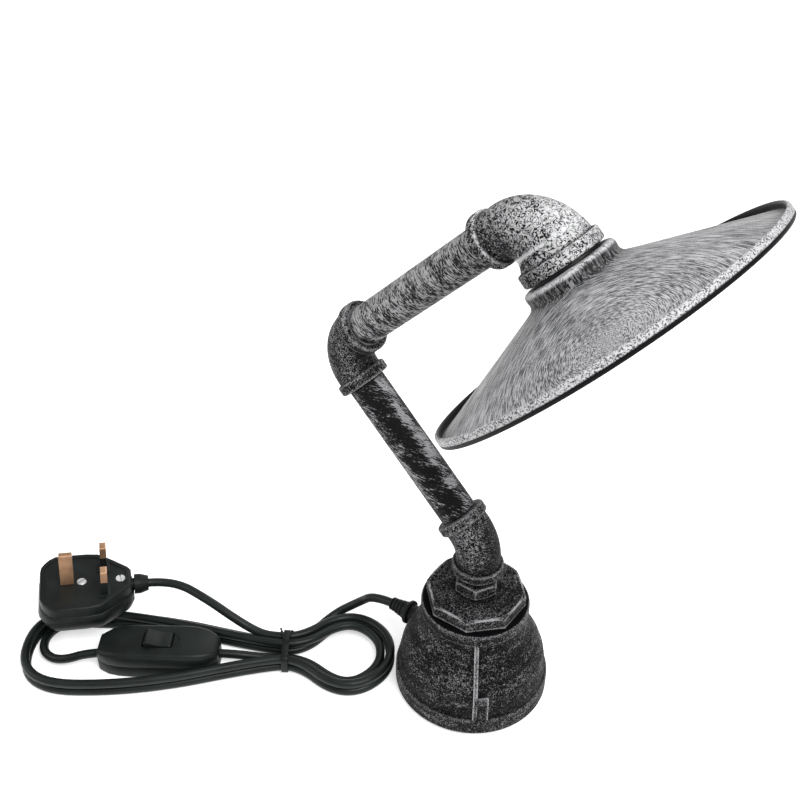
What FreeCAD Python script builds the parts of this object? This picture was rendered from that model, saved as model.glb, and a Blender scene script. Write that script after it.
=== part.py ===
import FreeCAD
import Part

import math
import os

import Sketcher

V = FreeCAD.Vector
doc = FreeCAD.newDocument("pipe_lamp")
NODES = []

# Driving dimensions in millimetres and degrees. The origin is on the floor under the
# middle of the bell, +Z is up, and the arm and the shade lie in the XZ plane.
SIZES = {
    # clearances
    "fit_gap": 0.05,
    "seat_gap": 0.1,
    "soft_gap": 0.3,
    # felt pad and base plate
    "felt_thickness": 1.5,
    "felt_od": 84.0,
    "plate_thickness": 2.0,
    # bell, a reducing socket standing on its large end
    "bell_bottom_od": 90.8,
    "bell_bottom_band": 11.5,
    "bell_shoulder_od": 87.4,
    "bell_waist_od": 59.2,
    "bell_top_od": 62.8,
    "bell_top_band": 8.2,
    "bell_height": 65.1,
    "bell_bottom_bore": 75.2,
    "bell_bore_depth": 17.0,
    "bell_rib_width": 2.4,
    "bell_rib_proud": 1.0,
    "bell_pad_width": 7.0,
    "bell_pad_height": 17.0,
    "bell_pad_proud": 1.2,
    "bell_front_angle": 304.0,
    # octagon bush in the mouth of the bell
    "bush_thread_od": 47.8,
    "bush_thread_length": 16.0,
    "bush_across_corners": 58.0,
    "bush_head": 7.8,
    "bush_gap": 0.8,
    "bush_turn": 21.3,
    # half inch pipe thread, hex nipple and pipe
    "thread_od": 20.9,
    "thread_pitch": 1.814,
    "thread_depth": 1.1,
    "socket_depth": 13.0,
    "hex_across_corners": 26.5,
    "hex_height": 7.6,
    "hex_above_bush": 1.2,
    "nipple_thread_shown": 5.9,
    "nipple_bore": 14.5,
    "pipe_od": 21.3,
    "pipe_bore": 16.0,
    # half inch elbows
    "band_od": 29.4,
    "band_width": 6.0,
    "elbow_body_od": 25.4,
    "elbow_bore": 16.5,
    "lower_elbow_leg": 19.6,
    "lower_elbow_bend": 27.0,
    "lower_elbow_angle": 45.0,
    "middle_elbow_leg": 25.8,
    "middle_elbow_bend": 19.0,
    # pipes, between the crossing points of the elbows' centre lines
    "lower_pipe_span": 135.0,
    "upper_pipe_span": 155.7,
    # reducing elbow that carries the shade
    "upper_elbow_leg": 29.3,
    "head_elbow_leg": 27.4,
    "upper_elbow_bend": 19.6,
    "head_body_od": 37.8,
    "head_band_od": 42.6,
    "head_band_width": 7.0,
    "head_socket_bore": 33.3,
    "head_socket_depth": 14.0,
    # plug in the mouth of the reducing elbow, hollow nipple, nuts and washer
    "head_plug_flange_od": 36.0,
    "head_plug_flange": 1.2,
    "tube_thread_od": 10.0,
    "tube_bore": 6.6,
    "tube_nut_od": 16.0,
    "tube_nut_height": 3.0,
    # spun shade
    "shade_wall": 0.8,
    "shade_neck_od": 48.0,
    "shade_neck_height": 6.4,
    "shade_od": 186.8,
    "shade_depth": 35.2,
    "shade_hem_height": 5.8,
    "shade_hem_width": 2.4,
    # lampholder
    "holder_cap_od": 40.0,
    "holder_cap_height": 15.0,
    "holder_body_od": 39.0,
    "holder_body_height": 26.5,
    "holder_neck": 3.5,
    "holder_wall": 1.6,
    "lamp_thread_bore": 26.6,
    "lamp_thread_depth": 0.5,
    "lamp_thread_pitch": 3.63,
    "shell_wall": 0.4,
    "shell_length": 22.0,
    "insert_height": 8.0,
    "contact_od": 12.0,
    "contact_height": 2.1,
    # strain relief, flex and terminals
    "cord_od": 5.5,
    "exit_height": 28.0,
    "relief_flange_od": 15.0,
    "relief_flange": 2.5,
    "relief_root_od": 11.0,
    "relief_tip_od": 7.6,
    "relief_reach": 58.5,
    "flex_od": 5.4,
    "flex_bend": 16.8,
    "earth_wire_od": 2.2,
    # hank of flex: its place on the floor, lobes, waist and steps
    "hank_x": -100.0,
    "hank_y": -54.0,
    "hank_turn": 34.0,
    "hank_step": 6.1,
    "waist_half": 3.15,
    "waist_reach": 11.0,
    "right_lobe_half": 21.0,
    "right_lobe_shoulder": 31.5,
    "right_lobe_end": 58.0,
    "right_lobe_tip": 8.7,
    "left_lobe_half": 24.5,
    "left_lobe_shoulder": 88.0,
    "left_lobe_end": 153.0,
    "fold_radius": 16.5,
    "fold_rise": 16.0,
    "fold_clear": 1.7,
    "tie_thickness": 0.9,
    "tie_width": 4.0,
    # rocker switch on the flex
    "switch_length": 74.0,
    "switch_width": 27.0,
    "switch_height": 19.0,
    "switch_split": 9.0,
    "switch_middle": -77.0,
    "switch_across": -4.0,
    "rocker_length": 17.0,
    "rocker_width": 11.5,
    "rocker_throw": 14.0,
    "rocker_pin_od": 2.4,
    "switch_wall": 2.0,
    "switch_screw_od": 2.4,
    # three pin plug, pins up
    "plug_width": 52.0,
    "plug_length": 58.0,
    "plug_height": 21.0,
    "plug_split": 14.0,
    "plug_along": -128.0,
    "plug_across": 29.0,
    "plug_lift": 12.6,
    "plug_turn": 14.0,
    "pin_width": 6.35,
    "pin_thickness": 4.0,
    "pin_length": 17.7,
    "pin_offset": 11.1,
    "pin_row": 22.2,
    "earth_width": 8.0,
    "earth_length": 22.7,
    "sleeve_length": 9.5,
    "sleeve_wall": 0.6,
}


class Size:
    # A length or angle, as the expression that binds it and as its number.
    def __init__(self, text, number):
        self.text = text
        self.number = number

    def join(self, sign, other, number):
        return Size("(" + self.text + " " + sign + " " + other.text + ")", number)

    def __add__(self, other):
        other = as_size(other)
        return self.join("+", other, self.number + other.number)

    def __sub__(self, other):
        other = as_size(other)
        return self.join("-", other, self.number - other.number)

    def __mul__(self, other):
        other = as_size(other)
        return self.join("*", other, self.number * other.number)

    def __truediv__(self, other):
        other = as_size(other)
        return self.join("/", other, self.number / other.number)

    def __radd__(self, other):
        return as_size(other) + self

    def __rsub__(self, other):
        return as_size(other) - self

    def __rmul__(self, other):
        return as_size(other) * self

    def __neg__(self):
        return as_size(0) - self


def as_size(item):
    return item if isinstance(item, Size) else Size(repr(float(item)), float(item))


class Sheet:
    # The spreadsheet of driving dimensions, read as sheet.alias.
    def __init__(self, sizes):
        self.table = doc.addObject("Spreadsheet::Sheet", "Sizes")
        self.numbers = sizes
        for row, (alias, number) in enumerate(sizes.items(), start=1):
            self.table.set("A" + str(row), alias)
            self.table.set("B" + str(row), str(number))
            self.table.setAlias("B" + str(row), alias)
        doc.recompute()

    def __getattr__(self, alias):
        return Size("Sizes." + alias, float(self.numbers[alias]))


sheet = Sheet(SIZES)


def bind(item, **sizes):
    for name, size in sizes.items():
        size = as_size(size)
        setattr(item, name, size.number)
        item.setExpression(name, size.text)


def keep(item, label):
    item.Label = label
    NODES.append(item)
    return item


def place(item, origin, rotation=None):
    item.Placement = FreeCAD.Placement(origin, rotation or FreeCAD.Rotation())
    return item


# Sketched bodies


def outline_sketch(body, role, points, name):
    # A closed outline through the points, each held by its two distances from the origin.
    plane = [part for part in body.Origin.OriginFeatures if part.Role == role][0]
    drawn = body.newObject("Sketcher::SketchObject", name)
    drawn.AttachmentSupport = [(plane, "")]
    drawn.MapMode = "FlatFace"
    points = [(as_size(across), as_size(up)) for across, up in points]
    spots = [V(across.number, up.number, 0) for across, up in points]
    count = len(spots)
    drawn.addGeometry([Part.LineSegment(spots[i], spots[(i + 1) % count]) for i in range(count)])
    drawn.addConstraint([Sketcher.Constraint("Coincident", i, 2, (i + 1) % count, 1) for i in range(count)])
    for index, (across, up) in enumerate(points):
        hold_point(drawn, index, across, "DistanceX", -2)
        hold_point(drawn, index, up, "DistanceY", -1)
    return drawn


def hold_point(drawn, index, size, kind, axis):
    if abs(size.number) < 1e-9:
        drawn.addConstraint(Sketcher.Constraint("PointOnObject", index, 1, axis))
        return
    if size.number > 0:
        rule = Sketcher.Constraint(kind, -1, 1, index, 1, size.number)
    else:
        rule = Sketcher.Constraint(kind, index, 1, -1, 1, -size.number)
        size = -size
    number = drawn.addConstraint(rule)
    drawn.setExpression("Constraints[" + str(number) + "]", size.text)


def lathe(name, outline):
    # A solid turned about Z from an outline of radius and height.
    body = doc.addObject("PartDesign::Body", name)
    drawn = outline_sketch(body, "XZ_Plane", outline, name + "_profile")
    turned = body.newObject("PartDesign::Revolution", name + "_turned")
    turned.Profile = drawn
    turned.ReferenceAxis = (drawn, ["V_Axis"])
    turned.Angle = 360
    drawn.Visibility = False
    doc.recompute()
    return body


def plate(name, outline, depth):
    # A flat outline in XY, raised to its depth.
    body = doc.addObject("PartDesign::Body", name)
    drawn = outline_sketch(body, "XY_Plane", outline, name + "_outline")
    raised = body.newObject("PartDesign::Pad", name + "_raised")
    raised.Profile = drawn
    bind(raised, Length=depth)
    doc.recompute()
    return body


def round_rings(body, radius, rings):
    # Fillets on the turned edges that lie at these radii and heights.
    found = []
    for index, edge in enumerate(body.Tip.Shape.Edges, start=1):
        curve = edge.Curve
        if not isinstance(curve, Part.Circle):
            continue
        for ring_radius, height in rings:
            same = abs(curve.Radius - as_size(ring_radius).number) < 0.01
            if same and abs(curve.Center.z - as_size(height).number) < 0.01:
                found.append("Edge" + str(index))
    rounded = body.newObject("PartDesign::Fillet", body.Name + "_rounded")
    rounded.Base = (body.Tip if body.Tip != rounded else rounded.BaseFeature, found)
    bind(rounded, Radius=radius)
    doc.recompute()
    return body


def round_upright(body, radius):
    # Fillets on the upright edges of a raised plate.
    base = body.Tip
    found = []
    for index, edge in enumerate(base.Shape.Edges, start=1):
        low, high = edge.Vertexes[0].Point, edge.Vertexes[-1].Point
        if abs(low.z - high.z) > 0.5 and math.hypot(low.x - high.x, low.y - high.y) < 1e-6:
            found.append("Edge" + str(index))
    rounded = body.newObject("PartDesign::Fillet", body.Name + "_corners")
    rounded.Base = (base, found)
    bind(rounded, Radius=radius)
    doc.recompute()
    return body


# Primitives and booleans


def cylinder(name, radius, height, origin=None, rotation=None):
    item = doc.addObject("Part::Cylinder", name)
    bind(item, Radius=radius, Height=height)
    return place(item, origin or V(0, 0, 0), rotation)


def box(name, length, width, height, origin, rotation=None):
    item = doc.addObject("Part::Box", name)
    bind(item, Length=length, Width=width, Height=height)
    return place(item, origin, rotation)


def prism(name, sides, corner_radius, height, origin, turn):
    item = doc.addObject("Part::Prism", name)
    item.Polygon = sides
    bind(item, Circumradius=corner_radius, Height=height)
    return place(item, origin, FreeCAD.Rotation(V(0, 0, 1), turn))


def fuse(name, items):
    joined = doc.addObject("Part::MultiFuse", name)
    joined.Shapes = items
    joined.Refine = True
    return joined


def cut(name, base, tool):
    left = doc.addObject("Part::Cut", name)
    left.Base = base
    left.Tool = tool
    return left


def common(name, items):
    shared = doc.addObject("Part::MultiCommon", name)
    shared.Shapes = items
    return shared


def group(name, items):
    gathered = doc.addObject("Part::Compound", name)
    gathered.Links = items
    return gathered


# Directions of the arm


def slanted(angle):
    return V(math.sin(math.radians(angle)), 0, math.cos(math.radians(angle)))


tilt = sheet.lower_elbow_angle.number
LOWER_WAY = slanted(-tilt)
UPPER_WAY = slanted(90 - tilt)
HEAD_WAY = -LOWER_WAY
# the first elbow sits on the nipple, which stands on the stack of felt, bell and bush
BUSH_TOP = sheet.felt_thickness + sheet.bell_height + sheet.bush_gap + sheet.bush_head
HEX_LOW = BUSH_TOP + sheet.hex_above_bush
HEX_TOP = HEX_LOW + sheet.hex_height
ELBOW_FACE = HEX_TOP + sheet.nipple_thread_shown
LOWER_CROSSING = V(0, 0, (ELBOW_FACE + sheet.lower_elbow_leg).number)
MIDDLE_CROSSING = LOWER_CROSSING + LOWER_WAY * sheet.lower_pipe_span.number
HEAD_CROSSING = MIDDLE_CROSSING + UPPER_WAY * sheet.upper_pipe_span.number
ALONG_LOWER = FreeCAD.Rotation(V(0, 0, 1), LOWER_WAY)
ALONG_UPPER = FreeCAD.Rotation(V(0, 0, 1), UPPER_WAY)
ALONG_HEAD = FreeCAD.Rotation(V(0, 0, 1), HEAD_WAY)
MIDDLE_TURN = FreeCAD.Rotation(-UPPER_WAY, V(0, -1, 0), LOWER_WAY, "ZXY")
HEAD_TURN = FreeCAD.Rotation(-HEAD_WAY, V(0, -1, 0), UPPER_WAY, "ZXY")


def thread_outline(radius, depth, pitch, low, high):
    # The zigzag of a thread, from low to high, worked out by its pitch.
    turns = max(1, int((high.number - low.number) / pitch.number))
    step = (high - low) / turns
    points = [(radius, low)]
    for turn in range(turns):
        points.append((radius - depth, low + step * (turn + 0.5)))
        points.append((radius, low + step * (turn + 1)))
    return points


# Base


def make_base():
    felt_top = sheet.felt_thickness
    keep(cylinder("felt", sheet.felt_od / 2, felt_top), "felt_pad")

    plate_radius = sheet.bell_bottom_bore / 2 - sheet.fit_gap
    plate_disc = lathe("bottom_plate", [
        (0, felt_top),
        (plate_radius, felt_top),
        (plate_radius, felt_top + sheet.plate_thickness),
        (0, felt_top + sheet.plate_thickness)])
    keep(plate_disc, "base_plate")

    low = felt_top
    top = low + sheet.bell_height
    bottom = sheet.bell_bottom_od / 2
    shoulder = sheet.bell_shoulder_od / 2
    waist = sheet.bell_waist_od / 2
    rim = sheet.bell_top_od / 2
    band_top = low + sheet.bell_bottom_band
    rim_low = top - sheet.bell_top_band
    curve = rim_low - band_top
    drop = shoulder - waist
    mouth = sheet.bush_thread_od / 2 + sheet.fit_gap
    bore = sheet.bell_bottom_bore / 2
    flank = [(0.16, 0.01), (0.33, 0.11), (0.48, 0.28), (0.61, 0.52), (0.72, 0.74), (0.86, 0.92), (0.95, 1.0)]
    outside = [(shoulder - drop * inward, band_top + curve * rise) for rise, inward in flank]
    bell = lathe("bell_blank", [
        (bore, low),
        (bottom, low),
        (bottom, band_top),
        (shoulder, band_top)]
        + outside
        + [(waist, rim_low), (rim, rim_low), (rim, top), (mouth, top),
           (mouth, top - sheet.bush_thread_length - 2),
           (bore - 6, low + sheet.bell_bore_depth + 10),
           (bore - 2, low + sheet.bell_bore_depth),
           (bore, low + sheet.bell_bore_depth - 1)])
    round_rings(bell, 1.6, [(bottom, low), (bottom, band_top), (rim, rim_low), (rim, top)])

    # a parting rib runs up the front of the casting and widens to a pad at its foot
    front = sheet.bell_front_angle.number
    outline = [(sheet.bell_rib_proud + shoulder - drop * inward, band_top + curve * rise)
               for rise, inward in flank]
    rib_foot = [(waist - 4, band_top - 2), (shoulder + sheet.bell_rib_proud, band_top - 2)]
    rib_profile = lathe("rib_skin", rib_foot + outline + [
        (waist + sheet.bell_rib_proud, rim_low + 1), (waist - 4, rim_low + 1)])
    rib_slab = box("rib_slab", bottom + 5, sheet.bell_rib_width, sheet.bell_height,
                   V(0, 0, 0), None)
    rib_slab.Placement = turned_slab(front, sheet.bell_rib_width.number, low.number)
    pad_slab = box("pad_slab", bottom + 5, sheet.bell_pad_width, sheet.bell_pad_height, V(0, 0, 0), None)
    pad_slab.Placement = turned_slab(front + 5.5, sheet.bell_pad_width.number, band_top.number - 1)
    pad_skin = lathe("pad_skin", [
        (shoulder - 5, band_top - 1.5),
        (shoulder + sheet.bell_pad_proud, band_top - 1.5),
        (shoulder + sheet.bell_pad_proud - drop * 0.11, band_top + curve * 0.33),
        (shoulder - drop * 0.28, band_top + curve * 0.48),
        (shoulder - 5 - drop * 0.28, band_top + curve * 0.48)])
    rib = common("parting_rib", [rib_profile, rib_slab])
    pad = common("foot_pad", [pad_skin, pad_slab])
    solid = fuse("bell_cast", [bell, rib, pad])

    # the flex leaves through a hole in the back of the flank
    hole = cylinder("exit_hole", sheet.relief_root_od / 2 + sheet.fit_gap, bottom,
                    V(0, 0, sheet.exit_height.number), FreeCAD.Rotation(V(0, 0, 1), V(-1, 0, 0)))
    keep(cut("bell", solid, hole), "bell_base")

    # octagon bush: a chamfered octagon head over a threaded body
    head_low = top + sheet.bush_gap
    head_top = head_low + sheet.bush_head
    corner = sheet.bush_across_corners / 2
    flat = corner * math.cos(math.pi / 8)
    bush_bore = sheet.thread_od / 2 + sheet.fit_gap
    octagon = prism("octagon", 8, corner, sheet.bush_head, V(0, 0, head_low.number),
                    sheet.bush_turn.number)
    cap = lathe("octagon_chamfer", [
        (0, head_low), (corner + 1, head_low), (corner + 1, head_top - 2.4),
        (flat + 0.2, head_top), (0, head_top)])
    head = common("octagon_head", [octagon, cap])
    body_low = top - sheet.bush_thread_length
    stem = lathe("bush_stem", [(0, body_low), (sheet.bush_thread_od / 2 - 1, body_low),
                               (sheet.bush_thread_od / 2, body_low + 1),
                               (sheet.bush_thread_od / 2, top - 0.6),
                               (sheet.bush_thread_od / 2 - 1.2, top - 0.3),
                               (sheet.bush_thread_od / 2 - 1.2, head_low), (0, head_low)])
    drilled = cylinder("bush_bore", bush_bore, 60, V(0, 0, body_low.number - 10))
    keep(cut("bush", fuse("bush_blank", [head, stem]), drilled), "octagon_bush")

    # hex nipple between the bush and the lower elbow
    thread = sheet.thread_od / 2
    hex_corner = sheet.hex_across_corners / 2
    hex_flat = hex_corner * math.cos(math.pi / 6)
    hexagon = prism("hexagon", 6, hex_corner, sheet.hex_height, V(0, 0, HEX_LOW.number), -62.0)
    hex_cap = lathe("hex_chamfer", [
        (0, HEX_LOW), (hex_flat, HEX_LOW), (hex_corner + 0.5, HEX_LOW + 1.4),
        (hex_corner + 0.5, HEX_TOP - 1.4), (hex_flat, HEX_TOP), (0, HEX_TOP)])
    hex_ring = common("hex_ring", [hexagon, hex_cap])
    stub_low = body_low + 2
    stub_top = ELBOW_FACE + sheet.socket_depth - 1
    shown = thread_outline(thread, sheet.thread_depth, sheet.thread_pitch, HEX_TOP + 0.2, ELBOW_FACE)
    spindle = lathe("nipple_spindle",
                    [(0, stub_low), (thread, stub_low), (thread, HEX_LOW), (thread, HEX_TOP)]
                    + shown + [(thread, stub_top), (0, stub_top)])
    channel = cylinder("nipple_channel", sheet.nipple_bore / 2, 80, V(0, 0, stub_low.number - 10))
    keep(cut("nipple", fuse("nipple_blank", [spindle, hex_ring]), channel), "hex_nipple")


def turned_slab(angle, width, height):
    # A slab from the axis outwards at an angle, centred on its width.
    turn = FreeCAD.Rotation(V(0, 0, 1), angle)
    return FreeCAD.Placement(turn.multVec(V(0, -width / 2, 0)) + V(0, 0, height), turn)


# Elbows and pipes


def band(name, leg, width, radius, inner):
    # The rolled band round a socket's mouth, turned about its own axis.
    ring = lathe(name, [
        (inner, leg - width), (radius, leg - width), (radius, leg), (inner, leg)])
    return round_rings(ring, 1.3, [(radius, leg - width), (radius, leg)])


def elbow(label, angle, leg, bend, placement):
    # A half inch elbow: the first socket opens down, the second leaves towards -X.
    outer = sheet.elbow_body_od / 2
    inner = sheet.elbow_bore / 2
    socket = sheet.thread_od / 2 + sheet.fit_gap
    reach = bend * math.tan(math.radians(angle / 2))
    first = FreeCAD.Rotation(V(1, 0, 0), 180)
    second = FreeCAD.Rotation(V(0, 0, 1), V(-math.sin(math.radians(angle)), 0, math.cos(math.radians(angle))))
    centre = V(-bend.number, 0, -reach.number)

    def half(name, radius, length, turn):
        return cylinder(label + name, radius, length, V(0, 0, 0), turn)

    def bent(name, radius):
        ring = doc.addObject("Part::Torus", label + name)
        ring.Angle3 = angle
        bind(ring, Radius1=bend, Radius2=radius)
        return place(ring, centre, FreeCAD.Rotation(V(1, 0, 0), 90))

    def leg_tube(name, radius, start, length, turn):
        item = half(name, radius, length, turn)
        item.Placement = FreeCAD.Placement(turn.multVec(V(0, 0, start.number)), turn)
        return item

    pieces = [bent("_bend", outer),
              leg_tube("_leg_a", outer, reach, leg - reach, first),
              leg_tube("_leg_b", outer, reach, leg - reach, second)]
    for name, turn in (("_band_a", first), ("_band_b", second)):
        ring = band(label + name, leg, sheet.band_width, sheet.band_od / 2, outer - 2)
        ring.Placement = FreeCAD.Placement(V(0, 0, 0), turn)
        pieces.append(ring)
    tools = [bent("_way", inner),
             leg_tube("_way_a", inner, reach, leg, first),
             leg_tube("_way_b", inner, reach, leg, second),
             leg_tube("_socket_a", socket, leg - sheet.socket_depth, sheet.socket_depth + 1, first),
             leg_tube("_socket_b", socket, leg - sheet.socket_depth, sheet.socket_depth + 1, second)]
    solid = cut(label + "_cast", fuse(label + "_outside", pieces), fuse(label + "_inside", tools))
    solid.Placement = placement
    return keep(solid, label)


def reducing_elbow(placement):
    # The half inch socket opens down, the large one leaves towards -X.
    small = sheet.elbow_body_od / 2
    large = sheet.head_body_od / 2
    bend = sheet.upper_elbow_bend
    second = FreeCAD.Rotation(V(0, 0, 1), V(-1, 0, 0))
    first = FreeCAD.Rotation(V(1, 0, 0), 180)
    spine = doc.addObject("Part::Circle", "dome_spine")
    spine.Angle1 = 0
    spine.Angle2 = 90
    bind(spine, Radius=bend)
    place(spine, V(-bend.number, 0, -bend.number), FreeCAD.Rotation(V(1, 0, 0), 90))

    def dome(name, start_radius, end_radius):
        start = doc.addObject("Part::Circle", name + "_start")
        bind(start, Radius=start_radius)
        place(start, V(0, 0, -bend.number))
        end = doc.addObject("Part::Circle", name + "_end")
        bind(end, Radius=end_radius)
        place(end, V(-bend.number, 0, 0), FreeCAD.Rotation(V(0, 0, 1), V(-1, 0, 0)))
        swept = doc.addObject("Part::Sweep", name)
        swept.Sections = [start, end]
        swept.Spine = (spine, ["Edge1"])
        swept.Solid = True
        return swept

    def leg_tube(name, radius, start, length, turn):
        item = cylinder(name, radius, length, turn.multVec(V(0, 0, start.number)), turn)
        return item

    leg_a = sheet.upper_elbow_leg
    leg_b = sheet.head_elbow_leg
    ring_a = band("head_small_band", leg_a, sheet.band_width, sheet.band_od / 2, small - 2)
    ring_a.Placement = FreeCAD.Placement(V(0, 0, 0), first)
    ring_b = band("head_large_band", leg_b, sheet.head_band_width, sheet.head_band_od / 2, large - 1)
    ring_b.Placement = FreeCAD.Placement(V(0, 0, 0), second)
    outside = fuse("head_outside", [
        dome("dome", small, large),
        leg_tube("head_leg_a", small, bend, leg_a - bend, first),
        leg_tube("head_leg_b", large, bend, leg_b - bend, second),
        ring_a, ring_b])
    wall = large - sheet.head_socket_bore / 2
    inside = fuse("head_inside", [
        dome("dome_way", sheet.elbow_bore / 2, large - wall - 2),
        leg_tube("head_way_a", sheet.elbow_bore / 2, bend, leg_a, first),
        leg_tube("head_way_b", large - wall - 2, bend, leg_b, second),
        leg_tube("head_socket_a", sheet.thread_od / 2 + sheet.fit_gap, leg_a - sheet.socket_depth,
                 sheet.socket_depth + 1, first),
        leg_tube("head_socket_b", sheet.head_socket_bore / 2, leg_b - sheet.head_socket_depth,
                 sheet.head_socket_depth + 1, second)])
    solid = cut("head_cast", outside, inside)
    solid.Placement = placement
    return keep(solid, "upper_elbow")


def pipe(label, start, end, origin, rotation):
    # A pipe from one socket's floor to the next, thinned to the thread in both sockets.
    thread = sheet.thread_od / 2
    outer = sheet.pipe_od / 2
    bore = sheet.pipe_bore / 2
    grip = sheet.socket_depth - 0.5
    blank = lathe(label + "_blank", [
        (bore, start - grip), (thread, start - grip), (thread, start + 0.3), (outer, start + 0.8),
        (outer, end - 0.8), (thread, end - 0.3), (thread, end + grip), (bore, end + grip)])
    blank.Placement = FreeCAD.Placement(origin, rotation)
    return keep(blank, label)


def make_arm():
    elbow("lower_elbow", sheet.lower_elbow_angle.number, sheet.lower_elbow_leg, sheet.lower_elbow_bend,
          FreeCAD.Placement(LOWER_CROSSING, FreeCAD.Rotation()))
    pipe("lower_pipe", sheet.lower_elbow_leg, sheet.lower_pipe_span - sheet.middle_elbow_leg,
         LOWER_CROSSING, ALONG_LOWER)
    elbow("middle_elbow", 90.0, sheet.middle_elbow_leg, sheet.middle_elbow_bend,
          FreeCAD.Placement(MIDDLE_CROSSING, MIDDLE_TURN))
    pipe("upper_pipe", sheet.middle_elbow_leg, sheet.upper_pipe_span - sheet.upper_elbow_leg,
         MIDDLE_CROSSING, ALONG_UPPER)
    reducing_elbow(FreeCAD.Placement(HEAD_CROSSING, HEAD_TURN))


# Head: plug, hollow nipple, shade and lampholder, turned about the shade's axis


def on_head(body, label):
    body.Placement = FreeCAD.Placement(HEAD_CROSSING, ALONG_HEAD)
    return keep(body, label)


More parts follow.
